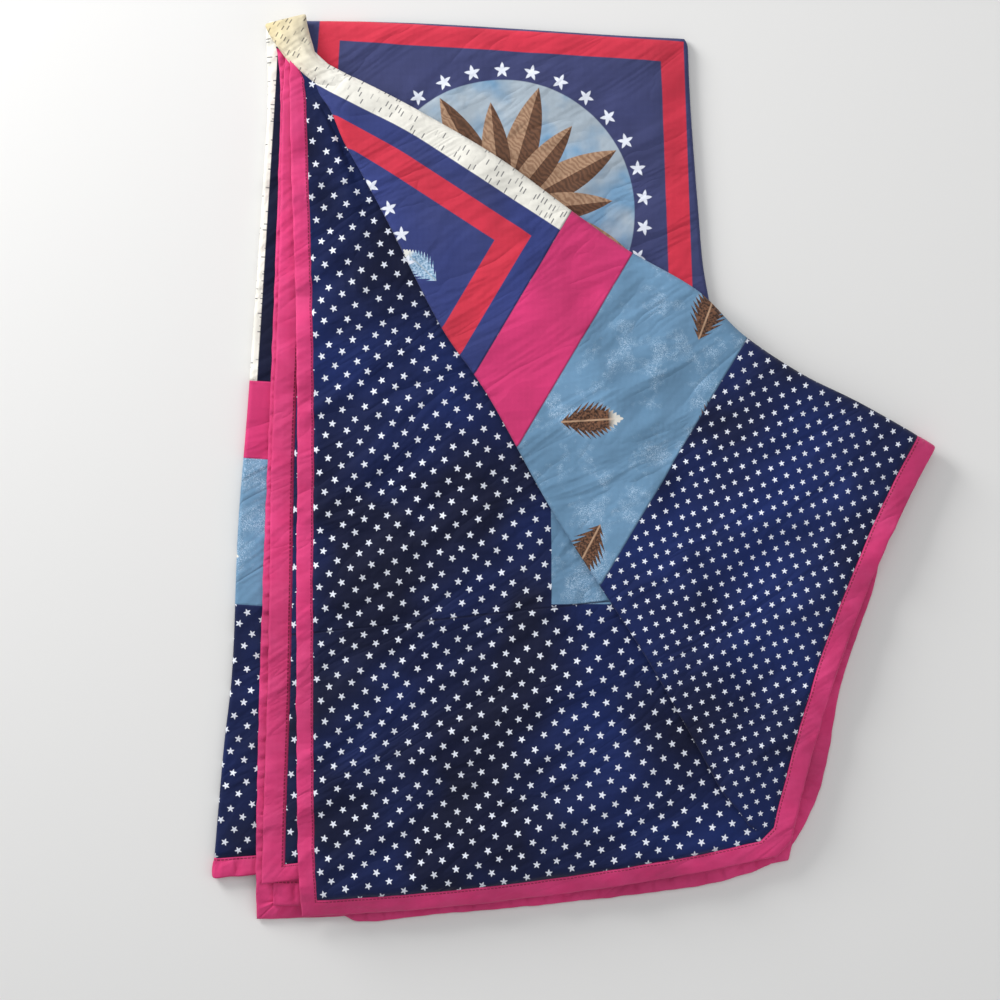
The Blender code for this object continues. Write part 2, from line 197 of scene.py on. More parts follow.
# Height of the small folds of a layer, never below zero. Each layer has wrinkles of its own.
def wrinkleHeight(x, y, layer):
    soft = noise.fractal(Vector((x, y, layer * 3.1)) / wrinkles["softSize"], 0.9, 2.0, 2)
    turn = wrinkles["creaseHeading"] * pi / 180
    lengthwise = (x * cos(turn) + y * sin(turn)) / wrinkles["creaseLength"]
    across = (y * cos(turn) - x * sin(turn)) / wrinkles["creaseWidth"]
    crease = 1 - abs(noise.noise(Vector((lengthwise, across, layer * 5.7))))
    fine = noise.noise(Vector((x, y, layer * 7.3)) / wrinkles["fineSize"])
    return (wrinkles["softHeight"] * (0.5 + 0.5 * soft) + wrinkles["creaseHeight"] * max(crease, 0) ** 4
            + wrinkles["fineHeight"] * (1 + fine))


# Point of a layer's middle; share is how far it wrinkles.
def point(spot, z, share=0.0, rows=topRidges, layer=0):
    lift = 0.0
    if share > 0:
        lift = (ridgeHeight(rows, spot.x, spot.y) + wrinkleHeight(spot.x, spot.y, layer)) * share
    return Vector((spot.x, spot.y, z + lift))


# Rows 0 to 1 run from the corner to the hem's seam, and rows 1 to 2 over the hem's binding.
def rowFraction(row, share):
    if row <= 1.0:
        return row * (1 - share)
    return 1 - share * (2 - row)


# Side view of the pleat: pairs of distance across the edge and height gained.
def pleatPath(turn, depth, ease):
    steps = cloth["turnSteps"]
    radius = cloth["pitch"] / 2
    depth = max(depth, cloth["leastStep"])
    ease *= 1 - smooth(0.0, 1.2, turn)
    start = (depth + radius + cloth["tableLevel"]) * (1 - cos(turn)) / 2
    path = []
    for i in range(steps + 1):
        angle = turn * i / steps
        path.append((start + radius * sin(angle), radius * (1 - cos(angle))))
    low = path[-1]
    high = (low[0] + depth * cos(turn), low[1] + depth * sin(turn))
    for t in (0.25, 0.5, 0.75):
        path.append((mix(low[0], high[0], t), mix(low[1], high[1], t)))
    for i in range(steps + 1):
        angle = turn * (1 - i / steps)
        path.append((high[0] + radius * (sin(turn) - sin(angle)),
                     high[1] + radius * (cos(angle) - cos(turn))))
    return [(distance + ease * i, gained) for i, (distance, gained) in enumerate(path)]


# Pairs are where something begins and ends: along the pleat's edge unless said otherwise.
nearFold = {
    "cornerLift": (0.05, 0.17), "turnsOver": (0.03, 0.13), "turnsBack": (0.90, 0.995),
    "pleatOpens": (0.10, 0.32), "pleatCloses": (0.62, 0.91),
    "easeShare": (0.15, 1.0), "easeOver": (0.0, 0.12), "wrinklesOver": (0, 0.05),
    "narrowStep": (0.2, 0.5), "narrowSpan": (0.040, 0.110),        # metres between the edges
    "wrinklesBefore": (0.030, 0.070), "wrinklesAfter": (0.014, 0.060),   # metres from the pleat
    "pleatSinks": (0.014, 0.090),                                  # metres behind the pleat
    "sinkAcross": (0.3, 0.9), "rollGrows": (0.02, 0.10), "riseWidth": 0.055, "riseShare": 0.8,
    "boundShare": 0.74, "underBoundShare": 0.4,
    "leftCells": 46, "flapCells": 58, "underCells": 16, "backCells": 14,
    "edgeGaps": (0.044, 0.038, 0.032, 0.026, 0.020, 0.014, 0.009, 0.004),
}


# The near fold's middle along one row, as pairs of point and tag: left part, pleat, turned-over
# flap, soft roll at its upper edge, and the layer that runs back below.
def nearRow(row):
    leftAt = rowFraction(row, rayShare["left"])
    pleatAt = rowFraction(row, rayShare["pleat"])
    rollAt = rowFraction(row, rayShare["roll"])
    swell = pleatAt**3 * mm
    droop = smooth(hems["droopFrom"], 1.0, pleatAt)
    pitch = cloth["pitch"]
    underZ = mix(firstLevel, cloth["tableLevel"], droop)
    lift = pitch * (1 - smooth(*nearFold["cornerLift"], pleatAt))
    topZ = firstLevel + pitch + lift - hems["sinkRight"] * droop
    edge = along("pleatEdge", pleatAt)
    across = squareTo("pleatEdge", pleatAt)
    turn = pi * smooth(*nearFold["turnsOver"], pleatAt) * (1 - smooth(*nearFold["turnsBack"], pleatAt))
    depth = (cloth["pleatDepth"] * smooth(*nearFold["pleatOpens"], pleatAt)
             * (1 - smooth(*nearFold["pleatCloses"], pleatAt)))
    ease = mix(*nearFold["easeShare"], smooth(*nearFold["easeOver"], pleatAt))
    path = pleatPath(turn, depth, cloth["leastStep"] * ease)
    wrinkled = smooth(*nearFold["wrinklesOver"], pleatAt)
    points = []

    left = along("topLeftEdge", leftAt)
    span = (edge - left).length
    bound = min(strip["nearWidth"], nearFold["boundShare"] * span)
    narrow = mix(*nearFold["narrowStep"], smooth(*nearFold["narrowSpan"], span))
    nearStep = min(1.0, narrow * span / hems["innerReach"])
    openFrom = span - hems["innerReach"] * nearStep
    reaches = [0.0, 0.5 * bound, bound] + spaced(bound, openFrom, nearFold["leftCells"])[1:]
    reaches += [span - gap * nearStep for gap in nearFold["edgeGaps"]]
    for reach in reaches:
        over = smooth(hems["stepFrom"], hems["stepTo"], (span - reach) / nearStep) * (1 - droop)
        sinkShare = 1 - smooth(*nearFold["sinkAcross"], reach / span)
        sink = (hems["sinkLeft"] - hems["sinkRight"]) * droop * sinkShare
        ridged = smooth(*nearFold["wrinklesBefore"], span - reach) * wrinkled
        spot = bowed(left, edge, reach / span, bow["topLeft"] * swell)
        points.append((point(spot, topZ - sink + (pitch - lift) * over, ridged), "left"))

    for index, (distance, gained) in enumerate(path):
        tag = "left" if index < len(path) // 2 else "flap"
        points.append((point(edge + across * distance, topZ + gained), tag))

    rollRadius = mix(pitch, cloth["rollRadius"], smooth(*nearFold["rollGrows"], rollAt))
    outward = squareTo("rollEdge", rollAt)
    fold = along("rollEdge", rollAt) - outward * rollRadius
    leave = edge + across * path[-1][0]
    reach = (fold - leave).length
    crest = underZ + 2 * rollRadius
    sinkFrom, sinkTo = (depth + value for value in nearFold["pleatSinks"])
    ridgeFrom, ridgeTo = (depth + value for value in nearFold["wrinklesAfter"])
    riseOver = min(nearFold["riseWidth"], nearFold["riseShare"] * reach) / reach
    for t in spaced(0.0, 1.0, nearFold["flapCells"])[1:]:
        spot = bowed(leave, fold, t, bow["topRight"] * swell)
        distance = (spot - edge).dot(across)
        pleated = topZ + path[-1][1] * (1 - smooth(sinkFrom, sinkTo, distance))
        rise = smooth(1 - riseOver, 1, t)
        ridged = smooth(ridgeFrom, ridgeTo, distance) * (1 - rise) * wrinkled
        points.append((point(spot, mix(pleated, crest, rise), ridged, layer=1), "flap"))

    halfHeight = (crest - underZ) / 2
    steps = cloth["turnSteps"] + 2
    for i in range(1, steps):
        angle = pi * i / steps
        spot = fold + outward * rollRadius * sin(angle)
        points.append((point(spot, underZ + halfHeight * (1 + cos(angle))), "flap"))

    middle = along("underMiddle", pleatAt)
    for t in spaced(0.0, 1.0, nearFold["underCells"])[:-1]:
        points.append((point(bowed(fold, middle, t, bow["underRight"] * swell), underZ), "under"))
    end = along("underLeftEdge", leftAt)
    span = (middle - end).length
    bound = min(cloth["binding"], nearFold["underBoundShare"] * span)
    for reach in spaced(0.0, span - bound, nearFold["backCells"]) + [span - 0.5 * bound, span]:
        points.append((point(bowed(middle, end, reach / span, -bow["underLeft"] * swell), underZ), "under"))
    return points


innerLayer = {"reachShare": 0.5, "boundShare": 0.85, "cells": 16}


# The inner layer's narrow strip, from its bound edge to where it goes below the near fold.
def innerRow(row):
    fraction = rowFraction(row, rayShare["left"])
    left = along("innerShownEdge", fraction)
    edge = along("pleatEdge", fraction * hems["innerHemAt"])
    span = (edge - left).length
    width = span - min(hems["innerReach"], innerLayer["reachShare"] * span)
    bound = min(strip["innerWidth"], innerLayer["boundShare"] * width)
    reaches = [0.0, 0.5 * bound, bound] + spaced(bound, width, innerLayer["cells"])[1:]
    return [(point(left.lerp(edge, reach / span), firstLevel + cloth["pitch"]), "left") for reach in reaches]


lower = {
    "leftWing": 0.225, "wingParting": 0.020, "lip": 0.009, "topBow": 0.008,
    "wingSetback": 0.016, "setbackOver": (0.0, 0.35),
    "wrinkleShare": 0.55, "wrinklesFrom": (0.0, 0.08),
    # The near fold presses it flat below the line y = at - slope * (x + aside).
    "pressed": {"at": 0.26, "slope": 0.62, "aside": 0.03, "blend": 0.05},
    "rightCells": 10, "faceCells": 90, "leftCells": 6,
    "unrollsBelow": (0.43, 0.47),      # metres up the plan, where the print goes round the side folds
}


# The lower fold: turned-under right side, right fold, open face, left fold, left side.
def lowerRow(row):
    fraction = rowFraction(row, rayShare["lower"])
    left = along("lowerLeftFold", fraction)
    right = along("lowerRightFold", fraction)
    radius = cloth["pitch"] / 2
    steps = cloth["turnSteps"]
    side = (left - right).normalized()
    down = (left - along("lowerLeftFold", 0)).length
    rounding = (1 - (1 - min(down / lower["lip"], 1.0)) ** 2) ** 0.5
    setback = Vector((0, -lower["wingSetback"] * (1 - smooth(*lower["setbackOver"], fraction))))
    rightOut = squareTo("lowerRightFold", fraction) * radius
    leftOut = squareTo("lowerLeftFold", fraction) * -radius
    rightStart = right - rightOut
    leftStart = left - leftOut
    rightWing = (leftStart - rightStart).length - lower["leftWing"] - lower["wingParting"]
    table = cloth["tableLevel"]
    pressed = lower["pressed"]
    points = []
    for t in spaced(1.0, 0.0, lower["rightCells"]):
        points.append((point(rightStart + side * rightWing * t + setback, table), "wing"))
    for i in range(1, steps):
        angle = pi * i / steps
        spot = rightStart + rightOut * sin(angle) + setback * (1 - i / steps)
        points.append((point(spot, table + radius * (1 - cos(angle)) * rounding), "face"))
    for t in spaced(0.0, 1.0, lower["faceCells"]):
        spot = rightStart.lerp(leftStart, t)
        spot.y += lower["topBow"] * sin(pi * t) * t * (1 - fraction)
        above = spot.y - (pressed["at"] - pressed["slope"] * (spot.x + pressed["aside"]))
        clear = smooth(-pressed["blend"], pressed["blend"], above)
        free = smooth(*lower["wrinklesFrom"], t) * rounding * clear
        level = mix(table, lowerLevel, rounding)
        points.append((point(spot, level, lower["wrinkleShare"] * free, panelRidges, layer=2), "face"))
    for i in range(1, steps):
        angle = pi * i / steps
        spot = leftStart + leftOut * sin(angle) + setback * (i / steps)
        points.append((point(spot, table + radius * (1 + cos(angle)) * rounding), "face"))
    for t in spaced(0.0, 1.0, lower["leftCells"]):
        points.append((point(leftStart - side * lower["leftWing"] * t + setback, table), "wing"))
    return points


# Where the prints lie, in plan units.
prints = {
    "leftPitch": 15.8, "leftTurn": 33.8,          # star print of the near fold's left part
    "flapPitch": 12.6, "flapTurn": -22.2,         # the same print, on the turned-over part
    "medallion": (502, 212), "medallionRadius": 133, "ringRadius": 143, "ringStars": 30,
    "flapRing": (-110, 381), "flapRingRadius": 123, "flapRingStars": 27,
    "flapX": (0.467, -0.884), "flapY": (0.884, 0.467),     # axes of the flap's patchwork
    "flapFan": 0.17, "flapFanFrom": 12, "flapFanUntil": (320, 440),
    "flapLean": 0.09, "flapLeanAt": 412, "flapDrift": 0.05,
    "panelCorner": (307, 14), "panelTurn": (0.998, 0.063),
    "panelLean": 0.10, "panelLeanOver": (60, 330),
}


def turned(u, v, degrees, pitch):
    turn = degrees * pi / 180
    return (u * cos(turn) + v * sin(turn)) / pitch, (v * cos(turn) - u * sin(turn)) / pitch


# Straight coordinates across and down the turned-over part.
def flapAxes(u, v):
    return (u * prints["flapX"][0] + v * prints["flapX"][1], u * prints["flapY"][0] + v * prints["flapY"][1])


# The same, along its patchwork, which fans out towards the upper edge and leans.
def flapSpot(u, v):
    a, b = flapAxes(u, v)
    fanned = prints["flapFan"] * max(a - prints["flapFanFrom"], 0) * (1 - smooth(*prints["flapFanUntil"], b))
    return a + prints["flapLean"] * (b - prints["flapLeanAt"]) + fanned, b - prints["flapDrift"] * a


# Ring coordinates: stars round the ring, and the distance from it in star spacings.
def polar(u, v, middle, radius, count):
    dx, dy = u - middle[0], v - middle[1]
    away = sqrt(dx * dx + dy * dy)
    spacing = 2 * pi * radius / count
    return atan2(dx, -dy) / (2 * pi) * count + 0.5, (away - radius) / spacing + 0.5


def onPlan(u, v):
    return u / plan["across"], v / plan["across"]


# Each function gives the print's three UV maps at a spot of its part of the cloth.
def leftMaps(x, y):
    u, v = planSpot(x, y)
    return {"stars": turned(u, v, prints["leftTurn"], prints["leftPitch"]), "bands": onPlan(u, v),
            "rings": (0.5, 0.0)}


def flapMaps(x, y):
    u, v = planSpot(x, y)
    ring = prints["flapRing"], prints["flapRingRadius"], prints["flapRingStars"]
    return {"stars": turned(u, v, prints["flapTurn"], prints["flapPitch"]), "bands": onPlan(*flapSpot(u, v)),
            "rings": polar(*flapAxes(u, v), *ring)}


def faceMaps(x, y):
    u, v = planSpot(x, y)
    dx, dy = u - prints["panelCorner"][0], v - prints["panelCorner"][1]
    c = dx * prints["panelTurn"][0] + dy * prints["panelTurn"][1]
    d = dy * prints["panelTurn"][0] - dx * prints["panelTurn"][1]
    leaning = prints["panelLean"] * d * smooth(*prints["panelLeanOver"], c)
    ring = prints["medallion"], prints["ringRadius"], prints["ringStars"]
    return {"stars": turned(u, v, prints["leftTurn"], prints["leftPitch"]), "bands": onPlan(c - leaning, d),
            "rings": polar(u, v, *ring)}


mapsByTag = {"left": leftMaps, "under": leftMaps, "flap": flapMaps, "face": faceMaps, "wing": leftMaps}


# Linear colour of an sRGB hex value.
def linear(code):
    parts = [int(code[i:i + 2], 16) / 255 for i in (0, 2, 4)]
    return tuple(c / 12.92 if c <= 0.04045 else ((c + 0.055) / 1.055) ** 2.4 for c in parts) + (1.0,)


colours = {
    # The second night colour is a painted blue sheen, laid over the navy in random patches.
    "night": linear("0A1130"), "nightSheenBlue": linear("15265C"), "panelNavy": linear("3B4069"),
    "flapNavy": linear("293A80"), "star": linear("E2E6F1"), "frameRed": linear("C83247"),
    "crimson": linear("CB356E"), "crimsonLight": linear("D6447D"), "skyBlue": linear("7095B5"),
    "skyPale": linear("B6CEE4"), "skyDeep": linear("5D83A1"), "birch": linear("E9E6DC"),
    "birchCream": linear("E2D1A2"), "birchDash": linear("626266"), "brown": linear("74513D"),
    "brownDark": linear("3B2A23"), "brownPale": linear("B8967A"), "cloud": linear("A4B1BC"),
    "stitch": linear("8A2444"),
}
leafBrowns = colours["brownDark"], colours["brown"], colours["brownPale"]
leafBlues = colours["skyBlue"], colours["skyPale"], colours["cloud"]


# Adds a node with its settings, links or fills its inputs, and gives its first output.
def addNode(tree, kind, inputs=(), **settings):
    node = tree.nodes.new(kind)
    for key, value in settings.items():
        setattr(node, key, value)
    pairs = inputs.items() if isinstance(inputs, dict) else enumerate(inputs)
    for key, value in pairs:
        if isinstance(value, bpy.types.NodeSocket):
            tree.links.new(value, node.inputs[key])
        else:
            node.inputs[key].default_value = value
    return node.outputs[0]


# Scale of a noise whose patches are so many millimetres wide.
def patchScale(size):
    return 1 / (size * mm)


# Scale of a wave whose bands are so many millimetres apart, measured along an axis. Its phase runs
# at 20 radians to a unit along an axis, and at 10 on the diagonal.
def bandScale(spacing, rate=20):
    return 2 * pi / (rate * spacing * mm)


boxEdge = 0.0004      # half the soft edge of a printed box, under half a millimetre
seamWidth = 0.0016    # from a seam's line to where the cloth is flat again, 1.8 mm
beyond = 2            # past every edge of the cloth, in plan widths


# 1 inside a box of the coordinates, and 0 outside it.
def withinBox(tree, coords, low, high):
    axes = addNode(tree, "ShaderNodeSeparateXYZ", [coords]).node.outputs
    sides = []
    for axis in (0, 1):
        middle, half = (low[axis] + high[axis]) / 2, (high[axis] - low[axis]) / 2
        offset = addNode(tree, "ShaderNodeMath", [axes[axis], middle], operation="SUBTRACT")
        away = addNode(tree, "ShaderNodeMath", [offset], operation="ABSOLUTE")
        sides.append(addNode(tree, "ShaderNodeMapRange", [away, half - boxEdge, half + boxEdge, 1.0, 0.0]))
    return addNode(tree, "ShaderNodeMath", sides, operation="MULTIPLY")


# Lays prints or colours over a ground one after another, each where its mask is 1.
def layOver(tree, ground, *layers):
    for mask, colour in layers:
        mixed = addNode(tree, "ShaderNodeMix", {0: mask, 6: ground, 7: colour}, data_type="RGBA")
        ground = mixed.node.outputs[2]
    return ground


# 1 on a line where a value is at a place, fading from an inner to an outer distance.
def lineMask(tree, value, place, inner, outer):
    offset = addNode(tree, "ShaderNodeMath", [value, place], operation="SUBTRACT")
    away = addNode(tree, "ShaderNodeMath", [offset], operation="ABSOLUTE")
    return addNode(tree, "ShaderNodeMapRange", [away, inner, outer, 1.0, 0.0])


# 1 on the seams across the patchwork, each at its place down the cloth.
def seamLines(tree, coords, places):
    down = addNode(tree, "ShaderNodeSeparateXYZ", [coords]).node.outputs[1]
    total, *others = [lineMask(tree, down, place, 0.0, seamWidth) for place in places]
    for line in others:
        total = addNode(tree, "ShaderNodeMath", [total, line], operation="MAXIMUM")
    return total


# Splits a print into unit cells. Gives the place from the middle of each cell's motif, which is
# nudged at random, and the cell's random vector.
def cellPlace(tree, coords, nudge, middle):
    cell = addNode(tree, "ShaderNodeVectorMath", [coords], operation="FLOOR")
    noisy = addNode(tree, "ShaderNodeTexWhiteNoise", {"Vector": cell}, noise_dimensions="2D")
    chance = noisy.node.outputs["Color"]
    terms = [chance, (*nudge, 0), (*middle, 0)]
    shift = addNode(tree, "ShaderNodeVectorMath", terms, operation="MULTIPLY_ADD")
    local = addNode(tree, "ShaderNodeVectorMath", [coords, cell], operation="SUBTRACT")
    return addNode(tree, "ShaderNodeVectorMath", [local, shift], operation="SUBTRACT"), chance


# Sizes in cells: a printed star's tips and notches, how hollow its sides are and how soft
# its edge; spin is how far it turns at random, in radians.
starShape = {"tip": 0.222, "ringTip": 0.25, "tipReach": 1.08, "notchReach": 0.44, "hollow": 1.5,
             "edge": 0.02, "spin": 6.0}


# Five-pointed stars, one to a unit cell.
def starMask(tree, coords, tip, jitter, spin):
    centre = 0.5 - jitter / 2
    local, chance = cellPlace(tree, coords, (jitter, jitter), (centre, centre))
    axes = addNode(tree, "ShaderNodeSeparateXYZ", [local]).node.outputs
    angle = addNode(tree, "ShaderNodeMath", [axes[0], axes[1]], operation="ARCTAN2")
    random = addNode(tree, "ShaderNodeSeparateXYZ", [chance]).node.outputs[2]
    angle = addNode(tree, "ShaderNodeMath", [random, spin, angle], operation="MULTIPLY_ADD")
    # Angle from the nearest tip, as a wave that falls from 1 at a tip to 0 in a notch.
    folded = addNode(tree, "ShaderNodeMath", [angle, pi / 5], operation="PINGPONG")
    notched = addNode(tree, "ShaderNodeMapRange", [folded, 0.0, pi / 5, 1.0, 0.0])
    notched = addNode(tree, "ShaderNodeMath", [notched, starShape["hollow"]], operation="POWER")
    reaches = tip * starShape["notchReach"], tip * starShape["tipReach"]
    notched = addNode(tree, "ShaderNodeMapRange", [notched, 0.0, 1.0, *reaches])
    flat = addNode(tree, "ShaderNodeVectorMath", [local, (1, 1, 0)], operation="MULTIPLY")
    away = addNode(tree, "ShaderNodeVectorMath", [flat], operation="LENGTH").node.outputs["Value"]
    gap = addNode(tree, "ShaderNodeMath", [notched, away], operation="SUBTRACT")
    return addNode(tree, "ShaderNodeMapRange", [gap, -starShape["edge"], starShape["edge"], 0.0, 1.0])


# Ring of plain white stars round the panel's disc, upright from the ring's middle.
def ringOfStars(tree, rings):
    row = withinBox(tree, rings, (-99, 0.0), (99, 1.0))
    stars = starMask(tree, rings, starShape["ringTip"], 0.0, 0.0)
    return addNode(tree, "ShaderNodeMath", [stars, row], operation="MULTIPLY")


nightSheenPatchSize = 166.67     # millimetres across the patches of painted blue sheen on the navy


# Dark navy print with small white stars; its navy is lightened in random patches by a painted blue sheen.
def nightGround(tree, coords, jitter):
    where = addNode(tree, "ShaderNodeTexCoord").node.outputs["Object"]
    # Random patches where the painted blue sheen is laid over the navy.
    mottle = addNode(tree, "ShaderNodeTexNoise", {
        "Vector": where, "Scale": patchScale(nightSheenPatchSize), "Detail": 2.0})
    mottle = addNode(tree, "ShaderNodeMapRange", [mottle, 0.38, 0.68, 0.0, 1.0])
    stars = starMask(tree, coords, starShape["tip"], jitter, starShape["spin"])
    return layOver(tree, colours["night"], (mottle, colours["nightSheenBlue"]), (stars, colours["star"]))


skyPrint = {
    "cloudSize": 55.556, "strokeSpacing": 6.6139, "strokeWobble": 26.0, "strokeShare": 0.85,
    "patchSize": 38.462, "leafPitch": 0.135, "leafShift": (0.42, 0.13),
}


# Light-blue print: mid blue with pale broken sprays.
def skyGround(tree, where):
    cloudy = addNode(tree, "ShaderNodeTexNoise", {"Vector": where, "Scale": patchScale(skyPrint["cloudSize"]),
                     "Detail": 3.0})
    strokes = addNode(tree, "ShaderNodeTexWave", {
        "Vector": where, "Scale": bandScale(skyPrint["strokeSpacing"], 10),
        "Distortion": skyPrint["strokeWobble"], "Detail": 4.0, "Detail Scale": 1.6,
        "Detail Roughness": 0.72}, bands_direction="DIAGONAL")
    strokes = addNode(tree, "ShaderNodeMapRange", [strokes, 0.72, 0.95, 0.0, skyPrint["strokeShare"]])
    patchy = addNode(tree, "ShaderNodeTexNoise", {"Vector": where, "Scale": patchScale(skyPrint["patchSize"]),
                     "Detail": 3.0, "Roughness": 0.7})
    patchy = addNode(tree, "ShaderNodeMapRange", [patchy, 0.50, 0.62, 0.0, 1.0])
    strokes = addNode(tree, "ShaderNodeMath", [strokes, patchy], operation="MULTIPLY")
    return layOver(tree, colours["skyDeep"], (cloudy, colours["skyBlue"]), (strokes, colours["skyPale"]))


# Sizes in pitches of the print, measured from a leaf's middle.
leafShape = {
    "halfLength": 0.26, "slant": -0.9, "leaflet": 0.022, "halfWidth": (0.085, 0.160), "edge": 0.006,
    "rib": (0.004, 0.010), "paleTip": (0.13, 0.19), "nudge": (0.2, 0.2), "middle": (0.40, 0.40),
    "streakSize": 2.381,      # millimetres
}


# Scattered feathery leaves, one to a cell of the print, each turned its own way.
def leafMotif(tree, below, where, pitch, shift, dark, light, vein):
    spot = addNode(tree, "ShaderNodeVectorMath", {0: where, "Scale": 1 / pitch}, operation="SCALE")
    spot = addNode(tree, "ShaderNodeVectorMath", [spot, (*shift, 0)], operation="ADD")
    local, chance = cellPlace(tree, spot, leafShape["nudge"], leafShape["middle"])
    random = addNode(tree, "ShaderNodeSeparateXYZ", [chance]).node.outputs[2]
    turn = addNode(tree, "ShaderNodeMath", [random, 2 * pi], operation="MULTIPLY")
    local = addNode(tree, "ShaderNodeVectorRotate", {"Vector": local, "Angle": turn}, rotation_type="Z_AXIS")
    axes = addNode(tree, "ShaderNodeSeparateXYZ", [local]).node.outputs
    side = addNode(tree, "ShaderNodeMath", [axes[1]], operation="ABSOLUTE")
    # Half width swells and shrinks along the leaf, and its leaflets slant forward.
    halfLength, leafletWidth = leafShape["halfLength"], leafShape["leaflet"]
    place = addNode(tree, "ShaderNodeMapRange", [axes[0], -halfLength, halfLength, 0.0, pi])
    swell = addNode(tree, "ShaderNodeMath", [place], operation="SINE")
    slant = addNode(tree, "ShaderNodeMath", [side, leafShape["slant"], axes[0]], operation="MULTIPLY_ADD")
    leaflet = addNode(tree, "ShaderNodeMath", [slant, leafletWidth], operation="PINGPONG")
    leaflet = addNode(tree, "ShaderNodeMapRange", [leaflet, 0.0, leafletWidth, *leafShape["halfWidth"]])
    reach = addNode(tree, "ShaderNodeMath", [leaflet, swell], operation="MULTIPLY")
    gap = addNode(tree, "ShaderNodeMath", [reach, side], operation="SUBTRACT")
    mask = addNode(tree, "ShaderNodeMapRange", [gap, 0.0, leafShape["edge"], 0.0, 1.0])
    streaks = addNode(tree, "ShaderNodeTexNoise", {
        "Vector": where, "Scale": patchScale(leafShape["streakSize"]), "Detail": 2.0})
    streaks = addNode(tree, "ShaderNodeMapRange", [streaks, 0.42, 0.58, 0.0, 1.0])
    rib = addNode(tree, "ShaderNodeMapRange", [side, *leafShape["rib"], 0.9, 0.0])
    tipped = addNode(tree, "ShaderNodeMapRange", [axes[0], *leafShape["paleTip"], 0.0, 0.9])
    leaf = layOver(tree, dark, (streaks, light), (rib, vein), (tipped, colours["birch"]))
    return layOver(tree, below, (mask, leaf))


def leafPrint(tree, where):
    return leafMotif(tree, skyGround(tree, where), where, skyPrint["leafPitch"], skyPrint["leafShift"],
                     *leafBrowns)


# Cells of the bark print are 11.6 mm long and 5.1 mm high, and half of them hold a dash.
birchPrint = {"cells": (95.0, 215.0), "nudge": (0.45, 0.55), "middle": (0.28, 0.22),
              "dashLength": (0.24, 0.30), "dashWidth": (0.08, 0.16), "kept": (0.40, 0.60)}


# Off-white print with short dark dashes, like bark.
def birchGround(tree, coords):
    spot = addNode(tree, "ShaderNodeVectorMath", [coords, (*birchPrint["cells"], 0)], operation="MULTIPLY")
    local, chance = cellPlace(tree, spot, birchPrint["nudge"], birchPrint["middle"])
    local = addNode(tree, "ShaderNodeVectorMath", [local], operation="ABSOLUTE")
    axes = addNode(tree, "ShaderNodeSeparateXYZ", [local]).node.outputs
    lengthwise = addNode(tree, "ShaderNodeMapRange", [axes[0], *birchPrint["dashLength"], 1.0, 0.0])
    across = addNode(tree, "ShaderNodeMapRange", [axes[1], *birchPrint["dashWidth"], 0.9, 0.0])
    kept = addNode(tree, "ShaderNodeSeparateXYZ", [chance]).node.outputs[2]
    kept = addNode(tree, "ShaderNodeMapRange", [kept, *birchPrint["kept"], 0.0, 1.0])
    dashes = addNode(tree, "ShaderNodeMath", [lengthwise, across], operation="MULTIPLY")
    dashes = addNode(tree, "ShaderNodeMath", [dashes, kept], operation="MULTIPLY")
    return layOver(tree, colours["birch"], (dashes, colours["birchDash"]))


def newMaterial(name):
    material = bpy.data.materials.new(name)
    material.use_nodes = True
    return material, material.node_tree


# Sizes in millimetres, depths in metres.
cotton = {
    # Threads of a quilting cotton are 0.35 mm apart, too fine to show from above: drawn 1.3 mm apart.
    "threadSpacing": 1.3090, "threadWobble": 1.2, "threadTone": (0.92, 1.08),
    "wornSize": 71.429, "wornTone": (0.84, 1.14), "roughnessSpread": 0.06,     # washed and rubbed patches
    "puckerSize": 18.182, "puckerShare": 3.0, "seamShare": 6.0, "weaveBump": 0.35, "weaveDepth": 0.0006,
    # Sharp creases of cloth that was kept folded: 20 to 60 mm apart along the quilt's slant.
    "creaseScale": (5.0, 17.0, 17.0), "creaseTurn": -0.54, "creaseWobble": 0.6, "creaseWidth": 0.16,
    "creaseBump": 0.8, "creaseDepth": 0.0030,
    "sheen": 0.06, "sheenRoughness": 0.45, "specular": 0.22,
}


